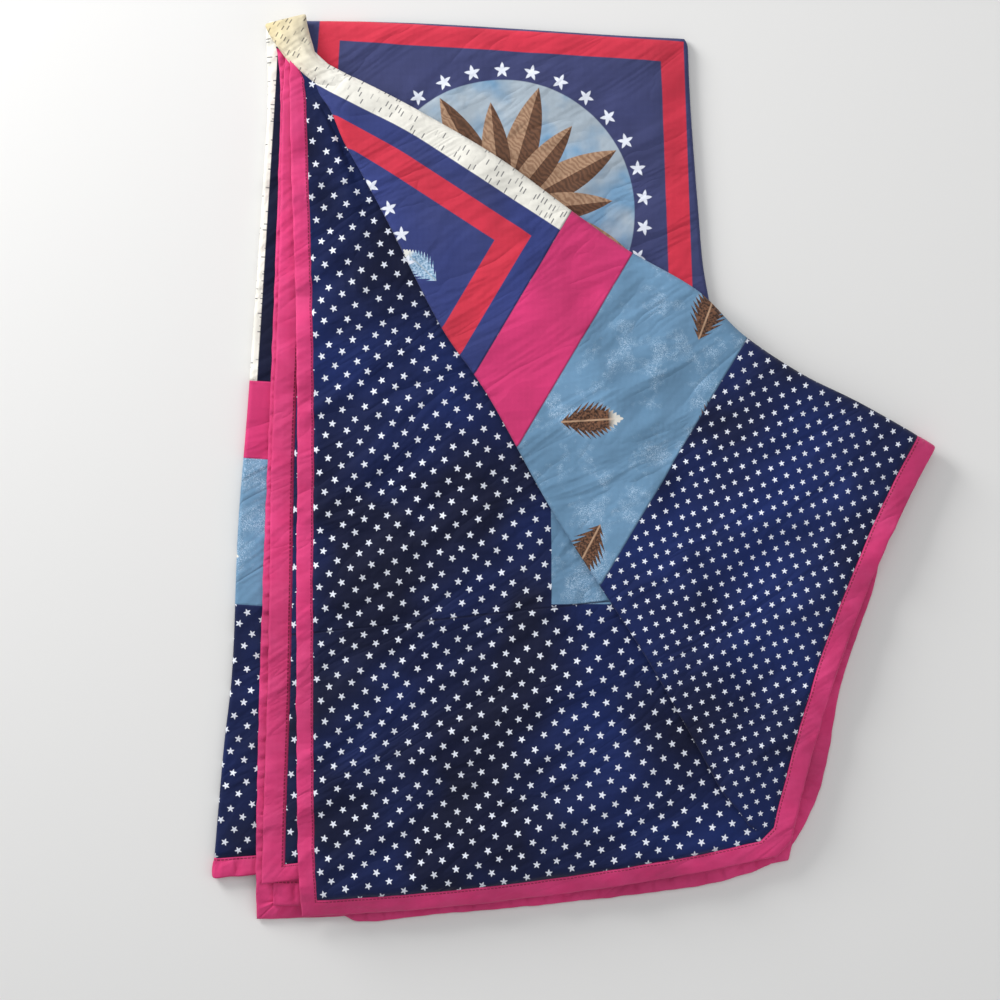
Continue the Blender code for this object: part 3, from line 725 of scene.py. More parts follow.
# Plain-woven, printed and washed cotton: a faint thread grain, soft puckers round the quilting and
# a matt surface with little sheen. Height lifts or sinks the print's own lines.
def finishCotton(tree, colour, height, roughness):
    shader = tree.nodes["Principled BSDF"]
    where = addNode(tree, "ShaderNodeTexCoord").node.outputs["Object"]
    warp, weft = (addNode(tree, "ShaderNodeTexWave", {
        "Vector": where, "Scale": bandScale(cotton["threadSpacing"]), "Distortion": cotton["threadWobble"],
        "Detail": 1.0}, bands_direction=axis) for axis in "XY")
    weave = addNode(tree, "ShaderNodeMath", [warp, weft], operation="ADD")
    worn = addNode(tree, "ShaderNodeTexNoise", {"Vector": where, "Scale": patchScale(cotton["wornSize"]),
                   "Detail": 4.0})
    toned = addNode(tree, "ShaderNodeMapRange", [worn, 0.3, 0.7, *cotton["wornTone"]])
    threads = addNode(tree, "ShaderNodeMapRange", [weave, 0.2, 1.8, *cotton["threadTone"]])
    shade = addNode(tree, "ShaderNodeMath", [toned, threads], operation="MULTIPLY")
    final = addNode(tree, "ShaderNodeVectorMath", {0: colour, "Scale": shade}, operation="SCALE")
    tree.links.new(final, shader.inputs["Base Color"])
    puckers = addNode(tree, "ShaderNodeTexNoise", {"Vector": where, "Scale": patchScale(cotton["puckerSize"]),
                      "Detail": 3.0})
    relief = addNode(tree, "ShaderNodeMath", [puckers, cotton["puckerShare"], weave],
                     operation="MULTIPLY_ADD")
    if height is not None:
        relief = addNode(tree, "ShaderNodeMath", [height, cotton["seamShare"], relief],
                         operation="MULTIPLY_ADD")
    laid = addNode(tree, "ShaderNodeVectorRotate", {"Vector": where, "Angle": cotton["creaseTurn"]},
                   rotation_type="Z_AXIS")
    laid = addNode(tree, "ShaderNodeVectorMath", [laid, cotton["creaseScale"]], operation="MULTIPLY")
    creased = addNode(tree, "ShaderNodeTexNoise", {
        "Vector": laid, "Scale": 1.0, "Detail": 3.0, "Roughness": 0.55, "Distortion": cotton["creaseWobble"]})
    creased = addNode(tree, "ShaderNodeMath", [creased, 0.5], operation="SUBTRACT")
    creased = addNode(tree, "ShaderNodeMath", [creased], operation="ABSOLUTE")
    creased = addNode(tree, "ShaderNodeMapRange", [creased, 0.0, cotton["creaseWidth"], 0.0, 1.0])
    folds = addNode(tree, "ShaderNodeBump", {
        "Strength": cotton["creaseBump"], "Distance": cotton["creaseDepth"], "Height": creased})
    bump = addNode(tree, "ShaderNodeBump", {"Strength": cotton["weaveBump"], "Distance": cotton["weaveDepth"],
                   "Height": relief, "Normal": folds})
    tree.links.new(bump, shader.inputs["Normal"])
    spread = cotton["roughnessSpread"]
    rough = addNode(tree, "ShaderNodeMapRange", [worn, 0.3, 0.7, roughness - spread, roughness + spread])
    tree.links.new(rough, shader.inputs["Roughness"])
    shader.inputs["Sheen Weight"].default_value = cotton["sheen"]
    shader.inputs["Sheen Roughness"].default_value = cotton["sheenRoughness"]
    shader.inputs["Specular IOR Level"].default_value = cotton["specular"]


# Places of the patches below are in plan widths, across and down each part's own patchwork.
starLook = {
    "jitter": 0.18, "roughness": 0.80,
    "skyBlock": ((0.551, 0.300), (0.640, 0.604)),     # end of the light-blue strip beside the flap
    "seamTilt": 0.1064, "seamAt": 0.6658,
}


# Plain-weave quilting cotton, screen-printed on navy and washed: deep matt blue, crisp white stars.
def makeStarCotton():
    material, tree = newMaterial("printedStarCottonPlainWeave")
    stars, bands = (addNode(tree, "ShaderNodeUVMap", uv_map=name) for name in ("stars", "bands"))
    where = addNode(tree, "ShaderNodeTexCoord").node.outputs["Object"]
    tilted = addNode(tree, "ShaderNodeVectorMath", [bands, (starLook["seamTilt"], 1.0, 0)],
                     operation="DOT_PRODUCT")
    seam = lineMask(tree, tilted.node.outputs["Value"], starLook["seamAt"], 0.0, seamWidth)
    block = withinBox(tree, bands, *starLook["skyBlock"])
    colour = layOver(tree, nightGround(tree, stars, starLook["jitter"]), (block, skyGround(tree, where)),
                     (seam, colours["night"]))
    sunk = addNode(tree, "ShaderNodeMath", [seam, -1.0], operation="MULTIPLY")
    finishCotton(tree, colour, sunk, starLook["roughness"])
    return material


flapLook = {
    "jitter": 0.10, "roughness": 0.78,
    "crimson": (0.600, 0.674), "sky": (0.674, 0.8155), "seamShade": 0.55,
    "birchFrom": 0.0745, "redTo": (0.054, 0.578), "panelTo": (0.030, 0.549),
    "sprigTo": (0.004, 0.540), "sprigPitch": 0.098, "sprigShift": (0.122, 0.215), "mottleSize": 111.11,
}


# Pieced plain-weave cotton of the turned-over part: flat matt patches that meet in sunk seams with a
# thin shadow. Panel corner with its red frame, crimson strip, light-blue strip and star border.
def makeFlapCotton():
    material, tree = newMaterial("piecedPrintedCottonFlap")
    stars, bands, rings = (addNode(tree, "ShaderNodeUVMap", uv_map=name)
                           for name in ("stars", "bands", "rings"))
    where = addNode(tree, "ShaderNodeTexCoord").node.outputs["Object"]
    start = (-beyond, -beyond)

    def upTo(corner):
        return withinBox(tree, bands, start, corner)

    def bandFrom(ends):
        return withinBox(tree, bands, (-beyond, ends[0]), (beyond, ends[1]))

    mottle = addNode(tree, "ShaderNodeTexNoise", {
        "Vector": where, "Scale": patchScale(flapLook["mottleSize"]), "Detail": 2.0})
    ground = layOver(tree, colours["flapNavy"], (mottle, colours["panelNavy"]))
    sprig = leafMotif(tree, ground, where, flapLook["sprigPitch"], flapLook["sprigShift"], *leafBlues)
    inside = layOver(tree, ground, (upTo(flapLook["sprigTo"]), sprig),
                     (ringOfStars(tree, rings), colours["star"]))
    birch = withinBox(tree, bands, (flapLook["birchFrom"], -beyond), (beyond, beyond))
    panel = layOver(tree, ground, (upTo(flapLook["redTo"]), colours["frameRed"]),
                    (upTo(flapLook["panelTo"]), inside), (birch, birchGround(tree, bands)))
    seam = seamLines(tree, bands, (*flapLook["crimson"], flapLook["sky"][1]))
    shaded = addNode(tree, "ShaderNodeMath", [seam, flapLook["seamShade"]], operation="MULTIPLY")
    colour = layOver(tree, nightGround(tree, stars, flapLook["jitter"]),
                     (bandFrom(flapLook["sky"]), leafPrint(tree, where)),
                     (bandFrom(flapLook["crimson"]), colours["crimson"]),
                     (upTo((beyond, flapLook["crimson"][0])), panel), (shaded, colours["night"]))
    sunk = addNode(tree, "ShaderNodeMath", [seam, -1.0], operation="MULTIPLY")
    finishCotton(tree, colour, sunk, flapLook["roughness"])
    return material


panelLook = {
    "jitter": 0.18, "roughness": 0.78,
    "red": ((0.0125, 0.0030), (0.3775, 0.600)), "inside": ((0.034, 0.0235), (0.354, 0.580)),
    "nightTo": (-0.004, 0.372), "birchTo": (-0.0275, 0.372), "topBirchTo": (-0.001, 0.035),
    "crimson": (0.369, 0.447), "sky": (0.447, 0.594),
    # Compass star in plan units: number of points, tip and notch radius, and turn.
    "compass": ((16, 104, 56, 0.0), (8, 131, 34, pi / 8), (8, 112, 26, 0.0)),
    "pointEdge": 1.2, "discEdge": 0.5,
    "hazeSize": 62.5, "featherSpacing": 6.9813, "featherWobble": 9.0,
}


# Printed centre panel of plain-weave cotton: a pale disc with a compass star in browns, whose points
# are light on one side and dark on the other, so that they look folded.
def medallion(tree, rings, where):
    axes = addNode(tree, "ShaderNodeSeparateXYZ", [rings]).node.outputs
    radius, discEdge = prints["medallionRadius"], panelLook["discEdge"]
    spacing = 2 * pi * prints["ringRadius"] / prints["ringStars"]
    away = addNode(tree, "ShaderNodeMath", [axes[1], 0.5], operation="SUBTRACT")
    away = addNode(tree, "ShaderNodeMath", [away, spacing, prints["ringRadius"]], operation="MULTIPLY_ADD")
    disc = addNode(tree, "ShaderNodeMapRange", [away, radius - discEdge, radius + discEdge, 1.0, 0.0])
    haze = addNode(tree, "ShaderNodeTexNoise", {"Vector": where, "Scale": patchScale(panelLook["hazeSize"]),
                   "Detail": 3.0})
    haze = addNode(tree, "ShaderNodeMapRange", [haze, 0.42, 0.60, 0.0, 1.0])
    feathers = addNode(tree, "ShaderNodeTexWave", {
        "Vector": where, "Scale": bandScale(panelLook["featherSpacing"], 10),
        "Distortion": panelLook["featherWobble"], "Detail": 3.0}, bands_direction="DIAGONAL")
    feathers = addNode(tree, "ShaderNodeMapRange", [feathers, 0.0, 1.0, 0.35, 0.85])
    dark = layOver(tree, colours["brownDark"], (feathers, colours["brown"]))
    light = layOver(tree, colours["brown"], (feathers, colours["brownPale"]))
    turns = addNode(tree, "ShaderNodeMath", [axes[0], 2 * pi / prints["ringStars"]], operation="MULTIPLY")
    picture = layOver(tree, colours["skyBlue"], (haze, colours["cloud"]))
    for count, tip, notch, turn in panelLook["compass"]:
        angle = addNode(tree, "ShaderNodeMath", [turns, turn], operation="ADD")
        folded = addNode(tree, "ShaderNodeMath", [angle, pi / count], operation="PINGPONG")
        edge = addNode(tree, "ShaderNodeMapRange", [folded, 0.0, pi / count, tip, notch])
        gap = addNode(tree, "ShaderNodeMath", [edge, away], operation="SUBTRACT")
        mask = addNode(tree, "ShaderNodeMapRange", [gap, 0.0, panelLook["pointEdge"], 0.0, 1.0])
        half = addNode(tree, "ShaderNodeMath", [angle, 2 * pi / count], operation="FLOORED_MODULO")
        half = addNode(tree, "ShaderNodeMath", [half, pi / count], operation="GREATER_THAN")
        picture = layOver(tree, picture, (mask, layOver(tree, dark, (half, light))))
    return disc, picture


# Pieced plain-weave cotton of the open face: the printed centre panel with its red frame, and the
# strips down its left side. Matt, with the seams sunk between the patches.
def makeFaceCotton():
    material, tree = newMaterial("piecedPrintedCottonPanel")
    stars, bands, rings = (addNode(tree, "ShaderNodeUVMap", uv_map=name)
                           for name in ("stars", "bands", "rings"))
    where = addNode(tree, "ShaderNodeTexCoord").node.outputs["Object"]
    birch = birchGround(tree, bands)
    start = (-beyond, -beyond)

    def bandFrom(top, bottom):
        return withinBox(tree, bands, (-beyond, top), (beyond, bottom))

    colour = layOver(
        tree, colours["panelNavy"],
        (withinBox(tree, bands, *panelLook["red"]), colours["frameRed"]),
        (withinBox(tree, bands, *panelLook["inside"]), colours["panelNavy"]),
        (ringOfStars(tree, rings), colours["star"]), medallion(tree, rings, where),
        (withinBox(tree, bands, start, panelLook["nightTo"]), colours["night"]),
        (withinBox(tree, bands, start, panelLook["birchTo"]), birch),
        (withinBox(tree, bands, start, panelLook["topBirchTo"]), birch),
        (bandFrom(*panelLook["crimson"]), colours["crimson"]),
        (bandFrom(*panelLook["sky"]), leafPrint(tree, where)),
        (bandFrom(panelLook["sky"][1], beyond), nightGround(tree, stars, panelLook["jitter"])))
    seam = seamLines(tree, bands, (*panelLook["crimson"], panelLook["sky"][1]))
    sunk = addNode(tree, "ShaderNodeMath", [seam, -1.0], operation="MULTIPLY")
    finishCotton(tree, colour, sunk, panelLook["roughness"])
    return material


# Stitches are 3 mm long in every 4.2 mm, 2.5 mm in from the strip's inner side.
bindingLook = {"roughness": 0.62, "stitchAt": 0.89, "stitchWidth": (0.015, 0.045), "stitchEvery": 0.0042,
               "stitchShare": 0.7, "stitchDepth": -0.6, "toneSize": 25, "lightShare": 0.5}


# Crimson cotton folded over the edge and top-stitched: a soft satin tone, smoother than the prints,
# with a line of dark dimples along its inner side.
def makeBindingCotton():
    material, tree = newMaterial("crimsonCottonBindingFolded")
    lengthAndWidth = addNode(tree, "ShaderNodeUVMap", uv_map="strip")
    where = addNode(tree, "ShaderNodeTexCoord").node.outputs["Object"]
    tone = addNode(tree, "ShaderNodeTexNoise", {"Vector": where, "Scale": patchScale(bindingLook["toneSize"]),
                   "Detail": 3.0})
    tone = addNode(tree, "ShaderNodeMapRange", [tone, 0.35, 0.65, 0.0, bindingLook["lightShare"]])
    axes = addNode(tree, "ShaderNodeSeparateXYZ", [lengthAndWidth]).node.outputs
    line = lineMask(tree, axes[1], bindingLook["stitchAt"], *bindingLook["stitchWidth"])
    step = addNode(tree, "ShaderNodeMath", [axes[0], 1 / bindingLook["stitchEvery"]], operation="MULTIPLY")
    step = addNode(tree, "ShaderNodeMath", [step], operation="FRACT")
    dash = addNode(tree, "ShaderNodeMath", [step, bindingLook["stitchShare"]], operation="LESS_THAN")
    stitch = addNode(tree, "ShaderNodeMath", [line, dash], operation="MULTIPLY")
    colour = layOver(tree, colours["crimson"], (tone, colours["crimsonLight"]), (stitch, colours["stitch"]))
    sunk = addNode(tree, "ShaderNodeMath", [stitch, bindingLook["stitchDepth"]], operation="MULTIPLY")
    finishCotton(tree, colour, sunk, bindingLook["roughness"])
    return material


barkLook = {"roughness": 0.82, "yellow": 0.9, "yellowDown": (0.245, 0.325)}


# Bark-print cotton rolled into the gathered corner: matt off-white that has yellowed there.
def makeBarkCotton():
    material, tree = newMaterial("barkPrintCottonRolled")
    bands = addNode(tree, "ShaderNodeUVMap", uv_map="bands")
    down = addNode(tree, "ShaderNodeSeparateXYZ", [bands]).node.outputs[1]
    yellowed = addNode(tree, "ShaderNodeMapRange", [down, *barkLook["yellowDown"], barkLook["yellow"], 0.0])
    mixed = addNode(tree, "ShaderNodeMix", {
        0: yellowed, 6: birchGround(tree, bands), 7: colours["birchCream"]},
        data_type="RGBA", blend_type="MULTIPLY")
    finishCotton(tree, mixed.node.outputs[2], None, barkLook["roughness"])
    return material


starCotton = makeStarCotton()
flapCotton = makeFlapCotton()
faceCotton = makeFaceCotton()
bindingCotton = makeBindingCotton()
barkCotton = makeBarkCotton()
materialByTag = {"left": 0, "under": 0, "wing": 0, "flap": 1, "face": 2}
print("materials made")

floorGap = 0.0003     # metres that the lowest cloth stays above the floor
ringJump = 8          # a face whose ring coordinates differ by more goes round the ring's seam


# Flattens whatever would dip below the floor, as cloth does that lies on it.
def keepAbove(mesh):
    nearFloor = 4 * floorGap
    for vert in mesh.verts:
        if vert.co.z < nearFloor:
            vert.co.z = floorGap * (1 + 3 * exp(min(vert.co.z - nearFloor, 0) / nearFloor))


# Makes a piece of a mesh and its materials.
def addPiece(name, mesh, materials):
    bmesh.ops.recalc_face_normals(mesh, faces=mesh.faces)
    data = bpy.data.meshes.new(name)
    mesh.to_mesh(data)
    mesh.free()
    for material in materials:
        data.materials.append(material)
    return addObject(name, data)


def addObject(name, data):
    item = bpy.data.objects.new(name, data)
    bpy.context.collection.objects.link(item)
    return item


# Where a point's print lies once the rounded side fold of the open face is rolled flat.
def printSpot(spot, tag):
    if tag != "face":
        return spot.x, spot.y
    rolled = max(lowerLevel - spot.z, 0) * (1 - smooth(*lower["unrollsBelow"], spot.y))
    return spot.x + (rolled if spot.x > 0 else -rolled), spot.y


def cellCorners(i, j):
    return (i, j), (i, j + 1), (i + 1, j + 1), (i + 1, j)


# Closed sheet of the picked cells of a grid of (point, tag) pairs.
def sheetPiece(name, grid, picked):
    mesh = bmesh.new()
    allCells = [(i, j) for i in range(len(grid) - 1) for j in range(len(grid[0]) - 1)]
    cells = [cell for cell in allCells if picked(*cell)]
    chosen = set(cells)
    normals = {}
    for cell in allCells:
        corners = cellCorners(*cell)
        a, b, c, d = (grid[i][j][0] for i, j in corners)
        normal = (c - a).cross(b - d).normalized()
        for corner in corners:
            normals[corner] = normals.get(corner, Vector()) + normal
    half = cloth["thickness"] / 2
    upper, under = {}, {}
    for corner in sorted({corner for cell in cells for corner in cellCorners(*cell)}):
        shift = normals[corner].normalized() * half
        centre = grid[corner[0]][corner[1]][0]
        upper[corner] = mesh.verts.new(centre + shift + frameShift)
        under[corner] = mesh.verts.new(centre - shift + frameShift)
    layers = {key: mesh.loops.layers.uv.new(key) for key in ("stars", "bands", "rings")}

    def addFace(corners, verts, tag):
        face = mesh.faces.new(verts)
        face.smooth = True
        face.material_index = materialByTag[tag]
        maps = mapsByTag[tag]
        values = [maps(*printSpot(grid[i][j][0], tag)) for i, j in corners]
        rounds = [value["rings"][0] for value in values]
        turnsAround = max(rounds) - min(rounds) > ringJump
        for loop, value in zip(face.loops, values):
            for key, layer in layers.items():
                spot = value[key]
                if key == "rings" and turnsAround:
                    spot = (0.5, spot[1])
                loop[layer].uv = spot

    for i, j in cells:
        tag = grid[i][j][1]
        ring = cellCorners(i, j)
        addFace(ring[::-1], [upper[corner] for corner in ring[::-1]], tag)
        addFace(ring, [under[corner] for corner in ring], tag)
        beside = ((i - 1, j), (i, j + 1), (i + 1, j), (i, j - 1))
        for k in range(4):
            if beside[k] not in chosen:
                a, b = ring[k], ring[(k + 1) % 4]
                addFace((a, b, b, a), (upper[a], upper[b], under[b], under[a]), tag)
    keepAbove(mesh)
    return addPiece(name, mesh, (starCotton, flapCotton, faceCotton))


strip = {
    "nearWidth": 0.0185, "innerWidth": 0.0255, "halfThickness": 0.0023,
    "station": 0.0020, "headingOver": 3,          # metres between rings, and rings to a heading
    "pucker": 0.0013, "puckerSize": 0.010, "puckerBase": 0.3, "puckerWidth": 1.1,
    "crown": 0.0014, "crownSize": 0.045,          # slow swell of the padding
    "wander": 0.0014, "wanderSize": 0.016,        # how far the outer edge leaves its line
    "creaseDepth": 0.0024, "creaseNarrow": 7.0, "creaseEvery": 0.020,
    # Cross-section, in shares of the width and of the half thickness: across from the outer edge to
    # the inner one, and back below.
    "section": ((0.0, 0.0), (0.03, 0.62), (0.12, 0.95), (0.3, 1.1), (0.5, 1.12), (0.7, 1.05), (0.84, 0.86),
                (0.89, 0.66), (0.94, 0.80), (1.0, 0.62), (1.0, -0.62), (0.84, -0.86), (0.5, -0.95),
                (0.12, -0.9), (0.03, -0.62)),
}


# Evenly spaced (outer, inner, reach) rows along pairs of edge points.
def stripStations(pairs):
    lengths = [0.0]
    for (outerA, innerA), (outerB, innerB) in zip(pairs, pairs[1:]):
        lengths.append(lengths[-1] + max((outerB - outerA).length, (innerB - innerA).length, 1e-6))
    count = int(lengths[-1] / strip["station"])
    stations = []
    index = 0
    for k in range(count + 1):
        reach = lengths[-1] * k / count
        while index < len(lengths) - 2 and lengths[index + 1] < reach:
            index += 1
        t = (reach - lengths[index]) / (lengths[index + 1] - lengths[index])
        (outerA, innerA), (outerB, innerB) = pairs[index], pairs[index + 1]
        stations.append((outerA.lerp(outerB, t), innerA.lerp(innerB, t), reach))
    return stations


# Padded strip lofted along pairs of (outer, inner) edge points, puckered along its length.
def stripPiece(name, pairs, layer):
    stations = stripStations(pairs)
    section = strip["section"]
    mesh = bmesh.new()
    uv = mesh.loops.layers.uv.new("strip")

    def ripple(reach, size, seed):
        return noise.noise(Vector((reach / size, layer * 4.0, seed)))

    rings = []
    for k, (outer, inner, reach) in enumerate(stations):
        before = stations[max(k - strip["headingOver"], 0)]
        after = stations[min(k + strip["headingOver"], len(stations) - 1)]
        heading = (after[0] + after[1] - before[0] - before[1]).normalized()
        across = inner - outer
        up = across.cross(heading).normalized()
        wave = ripple(reach, strip["puckerSize"], 0.0)
        slow = ripple(reach, strip["crownSize"], 3.0)
        slip = ripple(reach, strip["wanderSize"], 7.0)
        crease = max(0.0, 1 - strip["creaseNarrow"] * abs(ripple(reach, strip["creaseEvery"], 11.0)))
        pucker = strip["pucker"] * (wave + strip["puckerBase"])
        swell = strip["crown"] * slow - strip["creaseDepth"] * crease
        ring = []
        for position, height in section:
            puff = strip["halfThickness"] * height
            if height > 0:
                puff += (pucker * sin(pi * min(position * strip["puckerWidth"], 1.0))
                         + swell * sin(pi * position))
            spot = outer + across * position + up * puff
            spot -= across.normalized() * strip["wander"] * (slip * 0.6 + slow * 0.4) * (1 - position)
            ring.append(mesh.verts.new(spot + frameShift))
        rings.append(ring)
    size = len(section)
    for k in range(len(rings) - 1):
        for m in range(size):
            n = (m + 1) % size
            face = mesh.faces.new((rings[k][m], rings[k][n], rings[k + 1][n], rings[k + 1][m]))
            face.smooth = True
            reaches = (stations[k][2], stations[k][2], stations[k + 1][2], stations[k + 1][2])
            places = (section[m][0], section[n][0], section[n][0], section[m][0])
            for loop, reach, place in zip(face.loops, reaches, places):
                loop[uv].uv = (reach, place)
    mesh.faces.new(rings[0])
    mesh.faces.new(rings[-1][::-1])
    keepAbove(mesh)
    return addPiece(name, mesh, (bindingCotton,))


# Rows of the cloth, closer together in the gathered corner.
nearRows = spaced(0.016, cloth["boundFrom"], 4) + spaced(cloth["boundFrom"], 1.0, 140)[1:]
innerRows = [0.012] + spaced(cloth["boundFrom"], 1.0, 60)
lowerRows = [0.0, 0.0005, 0.0012, 0.0025, 0.0045, 0.007, 0.0095, 0.013] + spaced(0.018, 1.0, 110)
nearGrid = [nearRow(row) for row in nearRows]
innerGrid = [innerRow(row) for row in innerRows]
lowerGrid = [lowerRow(row) for row in lowerRows]

# The solids may lie a little aside of the outlines above; the inner binding shows by how much.
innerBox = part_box("inner_binding")
innerRim = [along("innerLeftEdge", fraction) for fraction in spaced(0.5, 1.0, 400)]
frameShift = Vector((innerBox[0][0] - min(spot.x for spot in innerRim), innerBox[0][1] - innerRim[-1].y, 0))
print("shift of the frame", [round(value, 5) for value in frameShift])

lastColumn = len(nearGrid[0]) - 1
boundRow = 4      # row of the near fold where its binding begins


def nearCell(i, j):
    return i < boundRow or 2 <= j <= lastColumn - 3


nearCloth = sheetPiece("nearFoldCloth", nearGrid, nearCell)
innerCloth = sheetPiece("innerLayerCloth", innerGrid, lambda i, j: i < 1 or j >= 2)
lowerCloth = sheetPiece("lowerFoldCloth", lowerGrid, lambda i, j: True)
print("cloth made")

hemRow = 2.0
seamRow = 1.0 + cloth["seamGap"] / cloth["binding"]


# Edge points of a binding down a side of the cloth, between two columns of its rows.
def sidePairs(rowFunction, rows, outer, inner):
    grids = [rowFunction(row) for row in rows]
    return [(grid[outer][0], grid[inner][0]) for grid in grids]


# Edge points of a binding along the hem.
def hemPairs(rowFunction, columns):
    edge, seam = rowFunction(hemRow), rowFunction(seamRow)
    return [(edge[j][0], seam[j][0]) for j in columns]


# Edge points of a binding's mitred corner.
def cornerPair(rowFunction, outer, inner):
    return [(rowFunction(hemRow)[outer][0], rowFunction(seamRow)[inner][0])]


sideRows = spaced(cloth["boundFrom"], 1.0, 90)
nearPairs = (sidePairs(nearRow, sideRows, 0, 2) + cornerPair(nearRow, 0, 2)
             + hemPairs(nearRow, range(3, lastColumn - 2)) + cornerPair(nearRow, lastColumn, lastColumn - 2)
             + sidePairs(nearRow, sideRows[::-1], lastColumn, lastColumn - 2))
innerPairs = (sidePairs(innerRow, sideRows, 0, 2) + cornerPair(innerRow, 0, 2)
              + hemPairs(innerRow, range(3, len(innerGrid[0]))))
lowerPairs = hemPairs(lowerRow, range(len(lowerGrid[0])))
nearBinding = stripPiece("nearFoldBinding", nearPairs, 0)
innerBinding = stripPiece("innerLayerBinding", innerPairs, 1)
lowerBinding = stripPiece("lowerFoldBinding", lowerPairs, 2)

# The quilt's second layer peeps out below the near fold's hem. Each row gives its outer edge in plan
# units, then the height of the strip's outer and inner side and its width in millimetres.
secondHem = {
    "rows": ((884, 545, 9, 11, 22), (877, 580, 7, 10.5, 22), (871, 602, 6, 10.5, 22), (860, 632, 5, 10, 22),
             (842, 688, 4, 9.5, 22), (832, 744, 4, 9, 22), (825, 778, 3.5, 9, 22), (814, 810, 3.5, 9, 22),
             (795, 845, 3.5, 9, 22), (772, 866, 3.5, 8.5, 22), (733, 880, 3.5, 8.5, 22),
             (700, 888, 3.5, 8, 22), (640, 896, 3.5, 7.5, 22), (570, 904, 3.5, 7, 22), (500, 911, 3.5, 7, 22),
             (430, 917, 3.5, 7, 22),
             (366, 924, 3.5, 7, 22), (346, 919, 4, 7, 22), (328, 908, 7.5, 10, 26),
             (306, 906.5, 12.5, 16.5, 30), (300, 906.5, 14.3, 18.1, 30), (271, 906.5, 14.3, 18.1, 30)),
    "perRow": 10, "headingOver": 4,
}


def secondPairs():
    rows, perRow, over = secondHem["rows"], secondHem["perRow"], secondHem["headingOver"]
    spots = [betweenRows(rows, index, k / perRow) for index in range(len(rows) - 1) for k in range(perRow)]
    pairs = []
    for index, (u, v, outerHeight, innerHeight, width) in enumerate(spots):
        ahead, behind = spots[min(index + over, len(spots) - 1)], spots[max(index - over, 0)]
        run = Vector((ahead[0] - behind[0], behind[1] - ahead[1])).normalized()
        inward = Vector((run.y, -run.x)) * width * mm
        x, y = fromPlan(u, v)
        pairs.append((Vector((x, y, outerHeight * mm)),
                      Vector((x + inward.x, y + inward.y, innerHeight * mm))))
    return pairs


secondBinding = stripPiece("secondLayerBinding", secondPairs(), 3)
print("binding made")

# Soft roll of cloth, creased lengthwise, that covers the gathered corner. Each station gives its left
# and right side in plan units, then its middle height and half height in millimetres.
cornerRoll = {
    "stations": ((264.5, 24, 306, 13.5, 19.5, 7), (267.5, 31, 307, 22, 20.5, 10),
                 (272, 39, 309.5, 33, 21.5, 12.5),
                 (281, 52, 313, 45, 22.0, 13.5), (291, 65, 316, 54, 22.5, 13.5),
                 (304, 77, 323, 61.5, 23.0, 13.0),
                 (317, 87, 335, 68, 23.6, 12.0), (332, 94.5, 349, 75.5, 24.0, 11.0),
                 (345, 100.5, 362, 82, 24.0, 10.2),
                 (364, 110, 377, 91, 23.4, 8.8)),
    "steps": 110, "around": 72,
    "pleats": 9, "pleatHeight": 0.045, "pleatSway": (1.6, 0.9), "pleatTwist": 0.35,
    "unevenness": 0.06, "unevenAlong": 1.3, "unevenAround": 1.8,
    "roundEnds": 6, "leastRound": 0.03, "endWidth": 0.86,
}


def cornerPiece(name):
    roll = cornerRoll
    last = len(roll["stations"]) - 1
    sway, swayRate = roll["pleatSway"]
    mesh = bmesh.new()
    uv = mesh.loops.layers.uv.new("bands")
    rings, spots = [], {}
    for k in range(roll["steps"] + 1):
        t = last * k / roll["steps"]
        index = min(int(t), last - 1)
        here = betweenRows(roll["stations"], index, t - index)
        leftSide, rightSide = Vector(here[0:2]), Vector(here[2:4])
        atEnd = min(min(k, roll["steps"] - k) / roll["roundEnds"], 1)
        close = sqrt(max(1 - (1 - atEnd) ** 2, roll["leastRound"]))
        width = mix(roll["endWidth"], 1.0, close)
        ring = []
        for m in range(roll["around"]):
            angle = 2 * pi * m / roll["around"]
            pleat = cos(roll["pleats"] * angle + sway * sin(t * swayRate) + t * roll["pleatTwist"])
            around = roll["unevenAround"]
            rough = noise.noise(Vector((t * roll["unevenAlong"], cos(angle) * around, sin(angle) * around)))
            swell = 1 + roll["pleatHeight"] * pleat + roll["unevenness"] * rough
            u, v = (leftSide + rightSide) / 2 - (rightSide - leftSide) / 2 * cos(angle) * width
            z = (here[4] + here[5] * sin(angle) * swell * close) * mm
            vert = mesh.verts.new(Vector((*fromPlan(u, v), z)) + frameShift)
            spots[vert] = onPlan(*flapSpot(u, v))
            ring.append(vert)
        rings.append(ring)
    for ringA, ringB in zip(rings, rings[1:]):
        for m in range(len(ringA)):
            n = (m + 1) % len(ringA)
            mesh.faces.new((ringA[m], ringA[n], ringB[n], ringB[m]))
    mesh.faces.new(rings[0])
    mesh.faces.new(rings[-1][::-1])
    for face in mesh.faces:
        face.smooth = True
        for loop in face.loops:
            loop[uv].uv = spots[loop.vert]
    return addPiece(name, mesh, (barkCotton,))


gatheredCorner = cornerPiece("gatheredCorner")
print("gathered corner made")


# Area of one side of a closed sheet.
def halfArea(piece):
    return sum(face.area for face in piece.data.polygons) / 2
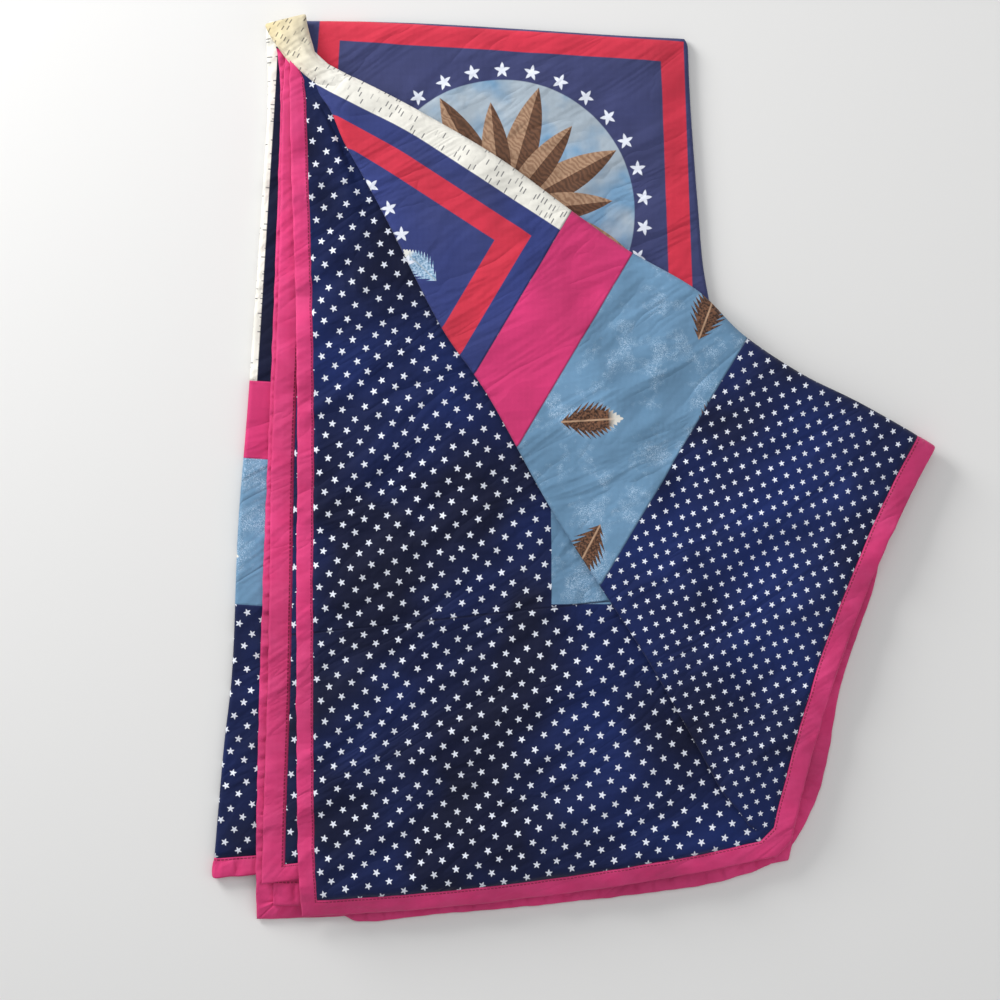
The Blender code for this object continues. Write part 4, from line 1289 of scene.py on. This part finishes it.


# Area in square metres of one side of each layer's cloth, and its triangle count.
for piece in (nearCloth, innerCloth, lowerCloth):
    print(piece.name, "one side", round(halfArea(piece), 3), "triangles", 2 * len(piece.data.polygons))
for piece in (nearCloth, innerCloth, lowerCloth, gatheredCorner):
    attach(piece, "root")
    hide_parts("quilt_cloth")
for piece, node in ((nearBinding, "near_binding"), (secondBinding, "near_binding"),
                    (innerBinding, "inner_binding"), (lowerBinding, "lower_binding")):
    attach(piece, "root")
    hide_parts(node)
print("pieces declared")

stage = {
    "floorSize": 12.0, "floorColour": linear("DEDDDB"), "floorRoughness": 0.9, "floorDrop": 0.0005,
    "sensor": 36, "height": 3.2, "quiltTop": 0.02, "viewWidth": 1.1,
    "worldTint": (0.95, 0.97, 1.0, 1.0), "worldStrength": 0.48,
    # Soft boxes: name, place, size and watts.
    "lights": (("key", (-2.0, 1.7, 1.15), 1.3, 74), ("fill", (2.2, -0.6, 2.2), 2.4, 13),
               ("top", (0.3, 0.8, 3.6), 2.6, 26)),
}


# Uncoated studio paper below the quilt: matt and even, so that it shows only soft shadows.
def makeStage():
    bpy.ops.mesh.primitive_plane_add(size=stage["floorSize"], location=(0, 0, -stage["floorDrop"]))
    floor = bpy.context.object
    floor.name = "floor"
    paper, tree = newMaterial("paleStudioPaper")
    tree.nodes["Principled BSDF"].inputs["Base Color"].default_value = stage["floorColour"]
    tree.nodes["Principled BSDF"].inputs["Roughness"].default_value = stage["floorRoughness"]
    floor.data.materials.append(paper)

    aimX, aimY = fromPlan(plan["across"] / 2, plan["across"] / 2)
    camera = bpy.data.cameras.new("overhead")
    camera.sensor_width = stage["sensor"]
    camera.lens = stage["sensor"] * (stage["height"] - stage["quiltTop"]) / stage["viewWidth"]
    overhead = addObject("overhead", camera)
    overhead.location = (aimX + frameShift.x, aimY + frameShift.y, stage["height"])
    bpy.context.scene.camera = overhead

    world = bpy.data.worlds.new("studio")
    world.use_nodes = True
    background = world.node_tree.nodes["Background"]
    background.inputs["Color"].default_value = stage["worldTint"]
    background.inputs["Strength"].default_value = stage["worldStrength"]
    bpy.context.scene.world = world
    for name, place, size, power in stage["lights"]:
        data = bpy.data.lights.new(name, "AREA")
        data.size = size
        data.energy = power
        lamp = addObject(name, data)
        lamp.location = place
        lamp.rotation_euler = (-Vector(place)).to_track_quat("-Z", "Y").to_euler()


makeStage()
bpy.context.scene.view_settings.view_transform = "Standard"
print("stage made")
